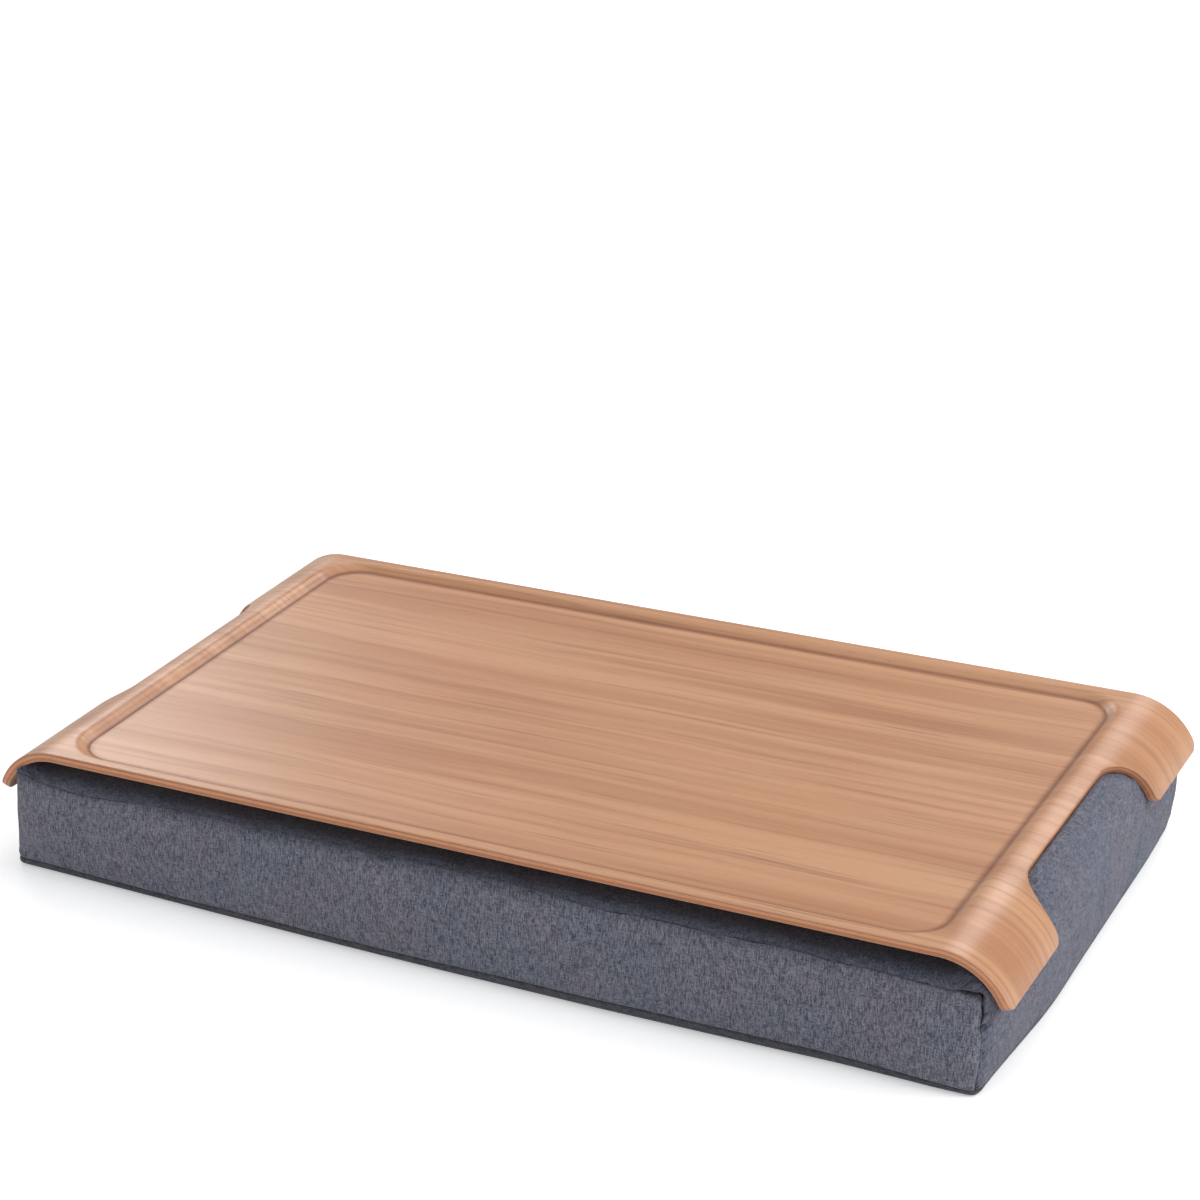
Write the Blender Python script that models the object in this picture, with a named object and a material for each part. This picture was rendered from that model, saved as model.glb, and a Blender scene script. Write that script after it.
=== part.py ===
"""A lap tray: a moulded plywood tray with rolled ends and hand notches, on a bead-filled cushion.

Metres, +Z up. The origin is on the floor under the middle of the tray. X runs along the tray,
and -Y is the side nearest the user.
"""

import math
from collections import Counter, namedtuple

import bmesh
import bpy
from mathutils import Vector
from mathutils.geometry import delaunay_2d_cdt

# The tray as a whole
tray_length = 0.4364
tray_depth = 0.2315
overall_height = 0.0552

# The laminate, from its face down
veneer_thickness = 0.0006
core_thickness = 0.0024
glue_line = 0.0001

# The rolled ends
ear_radius = 0.0292
ear_sweep = math.radians(72)
ear_corner_radius = 0.0045

# The hand notch in each end, measured on the sheet before it is rolled
notch_depth = 0.0273
notch_tip_half_width = 0.0608
notch_flare_radius = 0.080
notch_fillet_radius = 0.018
fillet_turn = math.radians(30)

# The pressed well, measured to the middle of its sloping wall
well_end_margin = 0.0027
well_side_margin = 0.0078
well_corner_radius = 0.0175
well_wall_width = 0.0045
well_depth = 0.0030

# What separates pieces that touch
piece_gap = 0.0003

# Hook and loop tape between the tray and the cushion
strip_length = 0.150
strip_width = 0.025
strip_thickness = 0.0009
strip_spacing = 0.220
strip_corner_radius = 0.003

# The cushion's cover
fabric_thickness = 0.0012
bottom_seam_height = 0.0040
top_seam_drop = 0.0142
front_overhang = 0.0025
back_overhang = 0.0035
front_lean = 0.0040
end_lean = 0.0044
bottom_shift = -0.0020
side_bulge = 0.0015
side_draw_in = 0.0010
cushion_corner_radius = 0.0060
crown_corner_radius = 0.0140
foot_width = 0.0070
rim_land = 0.0010
dish_reach = 0.0025
dish_wall_width = 0.0060

# Inside the cushion
bag_thickness = 0.0008
bag_gap = 0.0003

# The zip along the back
zip_end_margin = 0.0262
zip_tape_width = 0.0115
zip_tape_thickness = 0.0006
zip_tape_end = 0.0030
zip_row_height = 0.0026
zip_row_thickness = 0.0018
zip_row_spacing = 0.0010
zip_slot_margin = 0.0006
stop_length = 0.0022
slider_length = 0.0125
slider_plate_thickness = 0.0011
slider_flange_thickness = 0.0009
slider_web_thickness = 0.0004
slider_inner_clearance = 0.0004
bridge_length = 0.0092
bridge_width = 0.0020
bridge_thickness = 0.0010
bridge_room = 0.0019
pull_length = 0.0240
pull_width = 0.0070
pull_thickness = 0.0010
pull_window_length = 0.0050
pull_window_margin = 0.0004
weld_overlap = 0.0002

# How finely the round parts are cut
bend_steps = 2
ear_steps = 5
corner_steps = 4
fillet_steps = 2
half_corner_steps = 2
band_steps = 5
crown_steps = 4
foot_steps = 4
dish_steps = 3
bag_steps = 2
plan_merge = 0.000001
smooth_angle = math.radians(35)

# Shares of a side's length at which the cushion's outline has points, and where its sides stay straight
side_shares = (-1, -0.95, -0.9, -0.45, 0, 0.45, 0.9, 0.95, 1)
straight_share = 0.9

# Shares of the well's wall, from its middle out to its edges, at which the sheet has points
well_wall_shares = (-0.5, -0.2, 0.2, 0.5)

# Values that follow from the sizes above
tray_thickness = 2 * veneer_thickness + core_thickness + 2 * glue_line
bend_start = tray_length / 2 - ear_radius * math.sin(ear_sweep)
sheet_end = bend_start + ear_radius * ear_sweep
notch_start = sheet_end - notch_depth
well_half_length = bend_start - well_end_margin
well_half_depth = tray_depth / 2 - well_side_margin
ear_centre_height = overall_height - ear_radius

flat_top = overall_height - tray_thickness - piece_gap
top_seam_height = overall_height - top_seam_drop
crown_radius = ear_radius - tray_thickness - piece_gap
crown_reach = math.sqrt(crown_radius**2 - (top_seam_height - ear_centre_height) ** 2)
top_half_length = bend_start + crown_reach
bottom_half_length = top_half_length + end_lean
top_front = tray_depth / 2 + front_overhang
bottom_front = top_front + front_lean
cushion_back = tray_depth / 2 + back_overhang
flat_front = well_half_depth + dish_reach + rim_land
strip_stack = glue_line + 2 * strip_thickness + piece_gap + glue_line
dish_depth = well_depth + strip_stack - piece_gap

zip_height = (bottom_seam_height + top_seam_height) / 2
zip_length = tray_length - 2 * zip_end_margin
zip_face = cushion_back + side_bulge - side_draw_in
tape_face = zip_face - fabric_thickness - piece_gap
row_back = tape_face + piece_gap
row_face = row_back + zip_row_thickness
slider_inner_face = tape_face - zip_tape_thickness - slider_inner_clearance
slider_back = slider_inner_face - slider_plate_thickness
slider_under = row_face + piece_gap
slider_face = slider_under + slider_plate_thickness
row_outer = zip_row_spacing / 2 + zip_row_height
flange_inner = row_outer + piece_gap
slider_half_width = flange_inner + slider_flange_thickness
slot_half_height = slider_half_width + zip_slot_margin
slider_travel_end = zip_length / 2 - slider_length / 2
pull_axis_face = slider_face + bridge_room / 2
zip_room = zip_face - slider_back + piece_gap
bag_depth = fabric_thickness + bag_gap
fill_depth = bag_depth + bag_thickness + bag_gap
bag_back_extra = max(0, zip_room - bag_depth)


def clear_scene():
    for thing in list(bpy.data.objects):
        bpy.data.objects.remove(thing, do_unlink=True)


def finish(name, colour, roughness, metallic=0):
    material = bpy.data.materials.new(name)
    material.use_nodes = True
    shader = material.node_tree.nodes["Principled BSDF"]
    shader.inputs["Base Color"].default_value = (*colour, 1)
    shader.inputs["Roughness"].default_value = roughness
    shader.inputs["Metallic"].default_value = metallic
    return material


def add_empty(name, place=(0, 0, 0), parent=None):
    empty = bpy.data.objects.new(name, None)
    bpy.context.scene.collection.objects.link(empty)
    empty.parent = parent
    empty.location = place
    return empty


def add_piece(name, solid, material, parent, place=(0, 0, 0)):
    """Turns a closed bmesh into a named object, with its faces outward and its round faces smooth."""
    bmesh.ops.recalc_face_normals(solid, faces=solid.faces)
    mesh = bpy.data.meshes.new(name)
    solid.to_mesh(mesh)
    solid.free()
    mesh.shade_smooth()
    mesh.set_sharp_from_angle(angle=smooth_angle)
    mesh.materials.append(material)
    piece = bpy.data.objects.new(name, mesh)
    bpy.context.scene.collection.objects.link(piece)
    piece.parent = parent
    piece.location = place
    return piece


def solid_between(outer, inner, faces):
    """A closed solid from two like skins: faces index the outer points, and each open edge is walled."""
    solid = bmesh.new()
    near = [solid.verts.new(point) for point in outer]
    far = [solid.verts.new(point) for point in inner]
    edges = Counter()
    for face in faces:
        solid.faces.new([near[i] for i in face])
        solid.faces.new([far[i] for i in reversed(face)])
        edges.update((a, b) for a, b in zip(face, face[1:] + face[:1]))
    for a, b in edges:
        if (b, a) not in edges:
            solid.faces.new((near[b], near[a], far[a], far[b]))
    loose = [vert for vert in solid.verts if not vert.link_faces]
    bmesh.ops.delete(solid, geom=loose, context="VERTS")
    return solid


def prism(outline, along):
    """An outline swept along a vector."""
    points = [Vector(point) for point in outline]
    return solid_between(points, [point + Vector(along) for point in points], [tuple(range(len(points)))])


def box(low, high):
    corners = [(low[0], low[1]), (high[0], low[1]), (high[0], high[1]), (low[0], high[1])]
    return prism([(x, y, low[2]) for x, y in corners], (0, 0, high[2] - low[2]))


def join_with(piece, helper, operation="UNION"):
    helper.hide_render = True
    helper.display_type = "WIRE"
    modifier = piece.modifiers.new(operation.title(), "BOOLEAN")
    modifier.operation = operation
    modifier.solver = "EXACT"
    modifier.object = helper


def arc(centre, radius, first, last, steps):
    """Points on an arc of a plan, both ends included; the angles are in degrees."""
    angles = [math.radians(first + (last - first) * step / steps) for step in range(steps + 1)]
    return [(centre[0] + radius * math.cos(a), centre[1] + radius * math.sin(a)) for a in angles]


def smooth_step(share):
    share = min(max(share, 0), 1)
    return share * share * (3 - 2 * share)


def mix(first, last, share):
    return first + (last - first) * share


# The tray's sheet


def notch_corner():
    """The fillet in the notch's inner corner: its centre, and where it meets the flared side."""
    reach = notch_flare_radius - notch_fillet_radius
    back = notch_depth - notch_fillet_radius
    rise = math.sqrt(reach**2 - back**2)
    flare_centre = notch_tip_half_width - notch_flare_radius
    centre = (notch_start + notch_fillet_radius, flare_centre + rise)
    meets = sheet_end - back * notch_flare_radius / reach
    return centre, meets


def notch_edge(place):
    """Half the notch's width at a distance from the middle of the sheet."""
    centre, meets = notch_corner()
    if place < meets:
        return centre[1] + math.sqrt(max(0, notch_fillet_radius**2 - (place - centre[0]) ** 2))
    flare_centre = notch_tip_half_width - notch_flare_radius
    return flare_centre + math.sqrt(notch_flare_radius**2 - (sheet_end - place) ** 2)


def ear_tip():
    """The rounding between the notch's flared side and the ear's end: its centre and first angle."""
    reach = notch_flare_radius + ear_corner_radius
    turn = math.acos(ear_corner_radius / reach)
    flare_centre = notch_tip_half_width - notch_flare_radius
    return (sheet_end - ear_corner_radius, flare_centre + reach * math.sin(turn)), -math.degrees(turn)


def bend_places():
    """Where the rolled end is creased, with one crease level with the notch's bottom."""
    last = sheet_end - ear_corner_radius
    before = [mix(bend_start, notch_start, step / bend_steps) for step in range(bend_steps)]
    return before + [mix(notch_start, last, step / ear_steps) for step in range(ear_steps + 1)]


def notch_places():
    """Where the notch's side has points: round the start of its fillet, and at each crease beyond."""
    turns = [fillet_turn * step / fillet_steps for step in range(fillet_steps + 1)]
    fillet = [notch_start + notch_fillet_radius * (1 - math.cos(turn)) for turn in turns]
    return fillet + [place for place in bend_places() if place > fillet[-1]]


def tray_outline():
    """A quarter of the sheet's edge, from the middle of the notch to the middle of the long side."""
    places = notch_places()
    edge = [(notch_start, 0)] + [(place, notch_edge(place)) for place in places]
    tip, first = ear_tip()
    edge += arc(tip, ear_corner_radius, first, 0, corner_steps)
    edge += arc((tip[0], tray_depth / 2 - ear_corner_radius), ear_corner_radius, 0, 90, corner_steps)
    edge += [(place, tray_depth / 2) for place in reversed(bend_places())]
    return edge + [(0, tray_depth / 2)]


def bend_lines():
    lines = []
    for place in bend_places():
        first = 0 if place < notch_start else notch_edge(place)
        lines.append([(place, first), (place, tray_depth / 2)])
    return lines


def rounded_quarter(half_length, half_depth, radius):
    """A quarter of a rounded rectangle, from the middle of its end to the middle of its long side."""
    centre = (half_length - radius, half_depth - radius)
    return [(half_length, 0)] + arc(centre, radius, 0, 90, corner_steps) + [(0, half_depth)]


def well_lines():
    lines = []
    for share in well_wall_shares:
        inset = share * well_wall_width
        lines.append(
            rounded_quarter(well_half_length - inset, well_half_depth - inset, well_corner_radius - inset)
        )
    return lines


def well_drop(x, y):
    """How far the well lowers the sheet."""
    side = abs(x) - (well_half_length - well_corner_radius)
    front = abs(y) - (well_half_depth - well_corner_radius)
    outside = math.hypot(max(side, 0), max(front, 0)) + min(max(side, front), 0) - well_corner_radius
    return well_depth * smooth_step(1 / 2 - outside / well_wall_width)


def tray_point(place, y, below):
    """A point of the formed sheet, from its place on the flat sheet and its depth below the face."""
    if abs(place) <= bend_start:
        return (place, y, overall_height - below - well_drop(place, y))
    turn = (abs(place) - bend_start) / ear_radius
    reach = ear_radius - below
    x = bend_start + reach * math.sin(turn)
    return (math.copysign(x, place), y, ear_centre_height + reach * math.cos(turn))


def tray_plan():
    """The flat sheet cut into triangles along its bends and round its well."""
    points = []
    edges = []
    for line in [tray_outline()] + bend_lines() + well_lines():
        for across in (1, -1):
            for along in (1, -1):
                first = len(points)
                points += [Vector((x * across, y * along)) for x, y in line]
                edges += [(i, i + 1) for i in range(first, len(points) - 1)]
    plan = delaunay_2d_cdt(points, edges, [], 1, plan_merge)
    return [tuple(point) for point in plan[0]], [tuple(face) for face in plan[2]]


def make_ply(name, plan, top, thickness, material, parent):
    points, faces = plan
    upper = [tray_point(x, y, top) for x, y in points]
    lower = [tray_point(x, y, top + thickness) for x, y in points]
    return add_piece(name, solid_between(upper, lower, faces), material, parent)


def make_tray(parent, veneer, core):
    plan = tray_plan()
    core_top = veneer_thickness + glue_line
    back_top = core_top + core_thickness + glue_line
    make_ply("tray_face_veneer", plan, 0, veneer_thickness, veneer, parent)
    make_ply("tray_core", plan, core_top, core_thickness, core, parent)
    make_ply("tray_back_veneer", plan, back_top, veneer_thickness, veneer, parent)


def make_strips(tray, cushion, hook, loop):
    """Hook tape under the tray's well and loop tape on the cushion, face to face."""
    hook_top = overall_height - tray_thickness - well_depth - glue_line
    loop_top = hook_top - strip_thickness - piece_gap
    for side, sign in (("left", -1), ("right", 1)):
        quarter = rounded_quarter(strip_width / 2, strip_length / 2, strip_corner_radius)[1:-1]
        outline = quarter + [(-x, y) for x, y in reversed(quarter)]
        outline += [(-x, -y) for x, y in outline]
        centre = sign * strip_spacing / 2
        for name, top, material, parent in (
            (f"hook_strip_{side}", hook_top, hook, tray),
            (f"loop_strip_{side}", loop_top, loop, cushion),
        ):
            ring = [(centre + x, y, top - strip_thickness) for x, y in outline]
            add_piece(name, prism(ring, (0, 0, strip_thickness)), material, parent)


# The cushion: rings of points round it at each level

Level = namedtuple("Level", "half_length front back radius height shift push")


def straightness(share):
    """1 along a side's straight middle, falling to 0 at its corners, which stand out."""
    past = max(0, (abs(share) - straight_share) / (1 - straight_share))
    return 1 - past * past


def side_points(side, level, trim=0):
    """One side of a ring, from the middle of one corner to the middle of the next."""
    out = ((0, -1), (1, 0), (0, 1), (-1, 0))[side]
    along = (-out[1], out[0])
    ways = (level.front, level.half_length, level.back, level.half_length)
    reach, before, after = ways[side], ways[side - 1], ways[(side + 1) % 4]
    turn = math.pi / 4 - trim / level.radius
    places = []
    for step in range(half_corner_steps):
        angle = turn * (1 - step / half_corner_steps)
        round_out = reach - level.radius * (1 - math.cos(angle))
        places.append((round_out, level.radius * (1 - math.sin(angle)) - before))
    for share in side_shares:
        end = after if share > 0 else before
        places.append((reach + level.push * straightness(share), share * (end - level.radius)))
    for step in range(half_corner_steps):
        angle = turn * (step + 1) / half_corner_steps
        round_out = reach - level.radius * (1 - math.cos(angle))
        places.append((round_out, after - level.radius * (1 - math.sin(angle))))
    return [
        (level.shift + out[0] * r + along[0] * a, out[1] * r + along[1] * a, level.height)
        for r, a in places
    ]


def ring(level):
    return [point for side in range(4) for point in side_points(side, level)[:-1]]


def band_share(height):
    return min(max((height - bottom_seam_height) / (top_seam_height - bottom_seam_height), 0), 1)


def side_level(height, depth, back_extra=0, inset=0, radius=cushion_corner_radius):
    """A ring of the cover's upright sides at a height, set in by a depth."""
    share = band_share(height)
    return Level(
        mix(bottom_half_length, top_half_length, share) - depth - inset,
        mix(bottom_front, top_front, share) - depth - inset,
        cushion_back - back_extra - depth - inset,
        radius,
        height,
        mix(bottom_shift, 0, share),
        side_bulge * 4 * share * (1 - share) - side_draw_in,
    )


def crown_level(share, depth, back_extra=0):
    """From the top seam, at 0, to the flat top, at 1."""
    reach = crown_radius - depth
    seam_angle = math.asin((crown_reach - depth) / reach)
    angle = seam_angle * (1 - share)
    out = math.sin(angle) / math.sin(seam_angle)
    return Level(
        bend_start + reach * math.sin(angle),
        mix(flat_front, top_front - depth, out),
        mix(flat_front, cushion_back - back_extra - depth, out),
        mix(cushion_corner_radius, crown_corner_radius, share),
        ear_centre_height + reach * math.cos(angle),
        0,
        -side_draw_in * (1 - share),
    )


def dish_level(share, depth):
    """The wall of the dish that the tray's well presses into the top."""
    inset = share * dish_wall_width - dish_reach
    return Level(
        well_half_length - inset,
        well_half_depth - inset,
        well_half_depth - inset,
        well_corner_radius - inset,
        flat_top - depth - dish_depth * smooth_step(share),
        0,
        0,
    )


def foot_level(share, depth, back_extra=0):
    """From the edge of the flat underside, at 0, to the bottom seam, at 1."""
    turn = share * math.pi / 2
    inset = (foot_width - depth) * (1 - math.sin(turn))
    height = bottom_seam_height - (bottom_seam_height - depth) * math.cos(turn)
    return side_level(bottom_seam_height, depth, back_extra, inset)._replace(height=height)


def levels(make, steps, *values):
    return [make(step / steps, *values) for step in range(steps + 1)]


def ring_faces(ring_count, width, closed):
    """Triangles between rings of like points, from the first ring to the last."""
    faces = []
    across = width if closed else width - 1
    for level in range(ring_count - 1):
        for i in range(across):
            j = (i + 1) % width
            row = level * width
            faces.append((row + i, row + j, row + width + j))
            faces.append((row + i, row + width + j, row + width + i))
    return faces


def cap(ring_index, width):
    return tuple(range(ring_index * width, (ring_index + 1) * width))


def straightened(level):
    """The ring with its corners drawn in as far as its sides, to stay clear of the cover."""
    return level._replace(
        half_length=level.half_length - side_draw_in,
        front=level.front - side_draw_in,
        back=level.back - side_draw_in,
        push=level.push + side_draw_in,
    )


def inner_levels(depth, back_extra):
    """All the rings of a closed form inside the cover, from its underside to its dish."""
    crown = levels(crown_level, bag_steps, depth, back_extra)
    sides = [
        side_level(mix(bottom_seam_height, crown[0].height, step / bag_steps), depth, back_extra)
        for step in range(1, bag_steps)
    ]
    shell = levels(foot_level, bag_steps, depth, back_extra) + sides + crown
    return [straightened(level) for level in shell] + levels(dish_level, dish_steps, depth)


def ring_points(ring_levels):
    return [point for level in ring_levels for point in ring(level)]


def make_top_panel(material, parent):
    outer = levels(crown_level, crown_steps, 0) + levels(dish_level, dish_steps, 0)
    inner = levels(crown_level, crown_steps, fabric_thickness)
    inner += levels(dish_level, dish_steps, fabric_thickness)
    width = len(ring(outer[0]))
    faces = ring_faces(len(outer), width, True) + [cap(len(outer) - 1, width)]
    solid = solid_between(ring_points(outer), ring_points(inner), faces)
    return add_piece("cover_top_panel", solid, material, parent)


def make_bottom_panel(material, parent):
    outer = levels(foot_level, foot_steps, 0)
    inner = levels(foot_level, foot_steps, fabric_thickness)
    width = len(ring(outer[0]))
    faces = ring_faces(len(outer), width, True) + [cap(0, width)[::-1]]
    solid = solid_between(ring_points(outer), ring_points(inner), faces)
    return add_piece("cover_bottom_panel", solid, material, parent)


def make_band(name, side, low, high, inner_high, material, parent):
    """One upright side of the cover, from one height to another."""
    outer = []
    inner = []
    for step in range(band_steps + 1):
        share = step / band_steps
        outer += side_points(side, side_level(mix(low, high, share), 0), piece_gap / 2)
        inner += side_points(side, side_level(mix(low, inner_high, share), fabric_thickness), piece_gap / 2)
    width = len(outer) // (band_steps + 1)
    faces = ring_faces(band_steps + 1, width, False)
    return add_piece(name, solid_between(outer, inner, faces), material, parent)


def make_bands(material, parent):
    low = bottom_seam_height + piece_gap
    high = top_seam_height - piece_gap
    inner_high = crown_level(0, fabric_thickness).height - piece_gap
    for name, side in (("front", 0), ("right", 1), ("left", 3)):
        make_band(f"cover_{name}_band", side, low, high, inner_high, material, parent)
    above = zip_height + slot_half_height
    below = zip_height - slot_half_height
    make_band("cover_back_band_upper", 2, above, high, inner_high, material, parent)
    make_band("cover_back_band_lower", 2, low, below, below, material, parent)


def make_bag(material, parent):
    """The lining bag, with the mouth through which it was filled left open in its right end."""
    outer = inner_levels(bag_depth, bag_back_extra)
    inner = inner_levels(bag_depth + bag_thickness, bag_back_extra)
    width = len(ring(outer[0]))
    side_width = width // 4
    middle = side_width + side_width // 2
    mouth = bag_steps * width + middle
    faces = [face for face in ring_faces(len(outer), width, True) if face[0] not in (mouth, mouth - 1)]
    faces += [cap(0, width)[::-1], cap(len(outer) - 1, width)]
    solid = solid_between(ring_points(outer), ring_points(inner), faces)
    return add_piece("inner_bag", solid, material, parent)


def make_fill(material, parent):
    rings = inner_levels(fill_depth, bag_back_extra)
    width = len(ring(rings[0]))
    solid = bmesh.new()
    verts = [solid.verts.new(point) for point in ring_points(rings)]
    faces = ring_faces(len(rings), width, True) + [cap(0, width)[::-1], cap(len(rings) - 1, width)]
    for face in faces:
        solid.faces.new([verts[i] for i in face])
    return add_piece("bead_fill", solid, material, parent)


# The zip, in the middle of the back


def back_face(height):
    """How far back the cover's outer face stands at a height, along the straight of the side."""
    level = side_level(height, 0)
    return level.back + level.push


def make_tape(name, sign, material, parent):
    """A tape from the zip's middle to behind the band, curved as the band is."""
    half = zip_length / 2 + zip_tape_end
    near = zip_height + sign * zip_row_spacing / 2
    heights = [near + sign * zip_tape_width * step / band_steps for step in range(band_steps + 1)]
    faces_back = [back_face(height) - fabric_thickness - piece_gap for height in heights]
    outline = [(-half, y, z) for y, z in zip(faces_back, heights)]
    outline += [(-half, y - zip_tape_thickness, z) for y, z in zip(reversed(faces_back), reversed(heights))]
    return add_piece(name, prism(outline, (2 * half, 0, 0)), material, parent)


def zip_row(name, sign, first, last, material, parent):
    """A straight run on one tape, such as a row of teeth, from one place along the zip to another."""
    near = zip_height + sign * zip_row_spacing / 2
    far = near + sign * zip_row_height
    low = (first, row_back, min(near, far))
    high = (last, row_face, max(near, far))
    return add_piece(name, box(low, high), material, parent)


def make_zip(parent, tape, teeth, metal):
    half = zip_length / 2
    stop_start = half + piece_gap
    for side, sign in (("upper", 1), ("lower", -1)):
        make_tape(f"zip_tape_{side}", sign, tape, parent)
        zip_row(f"zip_teeth_{side}", sign, -half, half, teeth, parent)
        zip_row(f"zip_top_stop_{side}", sign, stop_start, stop_start + stop_length, metal, parent)
    low = (-stop_start - stop_length, row_back, zip_height - row_outer)
    high = (-stop_start, row_face, zip_height + row_outer)
    add_piece("zip_bottom_stop", box(low, high), metal, parent)


def make_slider(parent, metal):
    """Two plates joined by a web between the tape edges, with a bridge for the pull."""
    half = slider_length / 2
    flange_back = tape_face + piece_gap
    web = slider_web_thickness / 2
    right = [
        (slider_face, slider_half_width),
        (flange_back, slider_half_width),
        (flange_back, flange_inner),
        (slider_under, flange_inner),
        (slider_under, web),
        (slider_inner_face, web),
        (slider_inner_face, slider_half_width),
        (slider_back, slider_half_width),
    ]
    section = right + [(y, -z) for y, z in reversed(right)]
    outline = [(-half, y - slider_face, z) for y, z in section]
    place = (slider_travel_end, slider_face, zip_height)
    slider = add_piece("zip_slider", prism(outline, (slider_length, 0, 0)), metal, parent, place)
    foot = bridge_length / 2
    inside = foot - bridge_thickness
    top = bridge_room + bridge_thickness
    arch = [
        (-foot, -weld_overlap),
        (-foot, top),
        (foot, top),
        (foot, -weld_overlap),
        (inside, -weld_overlap),
        (inside, bridge_room),
        (-inside, bridge_room),
        (-inside, -weld_overlap),
    ]
    outline = [(x, y, -bridge_width / 2) for x, y in arch]
    bridge = add_piece("slider_bridge", prism(outline, (0, 0, bridge_width)), metal, parent, place)
    join_with(slider, bridge)


def make_pull(parent, metal):
    """A flat tab that turns on the bar of its own eye, held under the slider's bridge."""
    bar = pull_thickness / 2
    eye = bridge_width / 2 + pull_window_margin
    neck = bar + pull_window_length
    half = pull_width / 2
    arm = (eye + half) / 2
    shoulder = neck + pull_width / 2
    tail = pull_length - half
    upper = [(bar, arm), (-neck, arm), (-shoulder, half)] + [
        (-tail + x, z) for x, z in arc((0, 0), half, 90, 180, corner_steps)
    ]
    outline = upper + [(x, -z) for x, z in reversed(upper[:-1])]
    ring_of_tab = [(x, -bar, z) for x, z in outline]
    place = (slider_travel_end, pull_axis_face, zip_height)
    pull = add_piece("zip_pull", prism(ring_of_tab, (0, pull_thickness, 0)), metal, parent, place)
    low = (-neck, -pull_thickness, -eye)
    high = (-bar, pull_thickness, eye)
    window = add_piece("pull_window", box(low, high), metal, parent, place)
    join_with(pull, window, "DIFFERENCE")


def main():
    clear_scene()
    wood = finish("satin_wood", (0.64, 0.41, 0.25), 0.42)
    core = finish("plywood_edge", (0.70, 0.38, 0.20), 0.55)
    cloth = finish("blue_grey_cloth", (0.13, 0.14, 0.17), 0.90)
    under = finish("charcoal_cloth", (0.045, 0.05, 0.055), 0.90)
    lining = finish("white_lining", (0.75, 0.75, 0.72), 0.85)
    beads = finish("white_beads", (0.85, 0.85, 0.84), 0.60)
    tape = finish("charcoal_tape", (0.03, 0.03, 0.035), 0.85)
    metal = finish("dark_metal", (0.30, 0.30, 0.31), 0.35, 1)

    cushion = add_empty("cushion")
    tray = add_empty("tray", parent=cushion)
    make_tray(tray, wood, core)
    make_strips(tray, cushion, tape, tape)
    make_top_panel(cloth, cushion)
    make_bands(cloth, cushion)
    make_bottom_panel(under, cushion)
    make_bag(lining, cushion)
    make_fill(beads, cushion)
    make_zip(cushion, tape, tape, metal)
    make_slider(cushion, metal)
    make_pull(cushion, metal)


main()
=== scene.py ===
import math

import bmesh
import bpy
import numpy as np
from mathutils import Matrix, Vector, noise
from mathutils.bvhtree import BVHTree
from mathutils.geometry import delaunay_2d_cdt


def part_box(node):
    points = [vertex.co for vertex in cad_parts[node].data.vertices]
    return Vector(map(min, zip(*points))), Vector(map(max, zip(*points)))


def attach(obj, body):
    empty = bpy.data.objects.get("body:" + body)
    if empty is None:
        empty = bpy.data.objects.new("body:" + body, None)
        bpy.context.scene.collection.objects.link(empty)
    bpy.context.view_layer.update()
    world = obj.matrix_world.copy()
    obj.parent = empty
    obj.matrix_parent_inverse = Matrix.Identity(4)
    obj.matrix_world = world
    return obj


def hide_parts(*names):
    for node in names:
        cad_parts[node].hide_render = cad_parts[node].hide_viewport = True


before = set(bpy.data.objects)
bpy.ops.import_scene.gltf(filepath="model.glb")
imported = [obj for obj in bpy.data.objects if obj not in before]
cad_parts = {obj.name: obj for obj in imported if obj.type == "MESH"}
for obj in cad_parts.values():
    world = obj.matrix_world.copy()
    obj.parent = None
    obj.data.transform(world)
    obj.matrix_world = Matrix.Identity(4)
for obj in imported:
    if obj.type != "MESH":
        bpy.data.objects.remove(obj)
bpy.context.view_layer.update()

MM = 0.001
floor_glow = 0.40

# The tray, from the frame's own boxes where they give it
tray_half_length, tray_half_depth, tray_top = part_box("tray_face_veneer")[1]
veneer_thickness = 0.6 * MM
core_thickness = 2.4 * MM
glue_line = 0.1 * MM
glue_gap = 0.03 * MM
tray_thickness = 2 * veneer_thickness + core_thickness + 2 * glue_line
ear_radius = 29.2 * MM
ear_sweep = math.radians(72)
ear_corner_radius = 4.5 * MM
notch_depth = 27.3 * MM
notch_tip_half_width = 60.8 * MM
notch_flare_radius = 80 * MM
notch_fillet_radius = 18 * MM
arris_radius = 0.45 * MM
well_end_margin = 1.7 * MM
well_side_margin = 6.8 * MM
well_corner_radius = 18 * MM
well_wall_width = 6.5 * MM
well_depth = 3 * MM
wall_sharpness = 1.3
bend_start = tray_half_length - ear_radius * math.sin(ear_sweep)
sheet_end = bend_start + ear_radius * ear_sweep
notch_start = sheet_end - notch_depth
ear_centre_height = tray_top - ear_radius
well_half_length = bend_start - well_end_margin
well_half_depth = tray_half_depth - well_side_margin

# The cushion, in the same frame
top_low, top_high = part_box("cover_top_panel")
fabric_thickness = 1.0 * MM
under_tray_gap = 0.3 * MM
notch_edge_gap = 0.35 * MM
rim_edge_gap = 0.4 * MM
top_half_length = top_high.x
top_front = -top_low.y
cushion_back = top_high.y
flat_top = top_high.z
seam_height = 41 * MM
base_seam_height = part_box("cover_bottom_panel")[1].z
cushion_corner_radius = 6 * MM
foot_width = 4.6 * MM
dish_depth = 5 * MM
dish_wall_width = 6 * MM
dish_reach = 2 * MM
rim_hollow_start = 98 * MM
rim_hollow_width = 7 * MM
rim_hollow_share = 0.95
rim_hollow_end_gap = 4 * MM
rim_hollow_end_fade = 14 * MM
rim_rounding = 4.5 * MM
back_draw_in = 1 * MM
corner_pull = 1.3 * MM
seam_dip = 0.45 * MM
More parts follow.
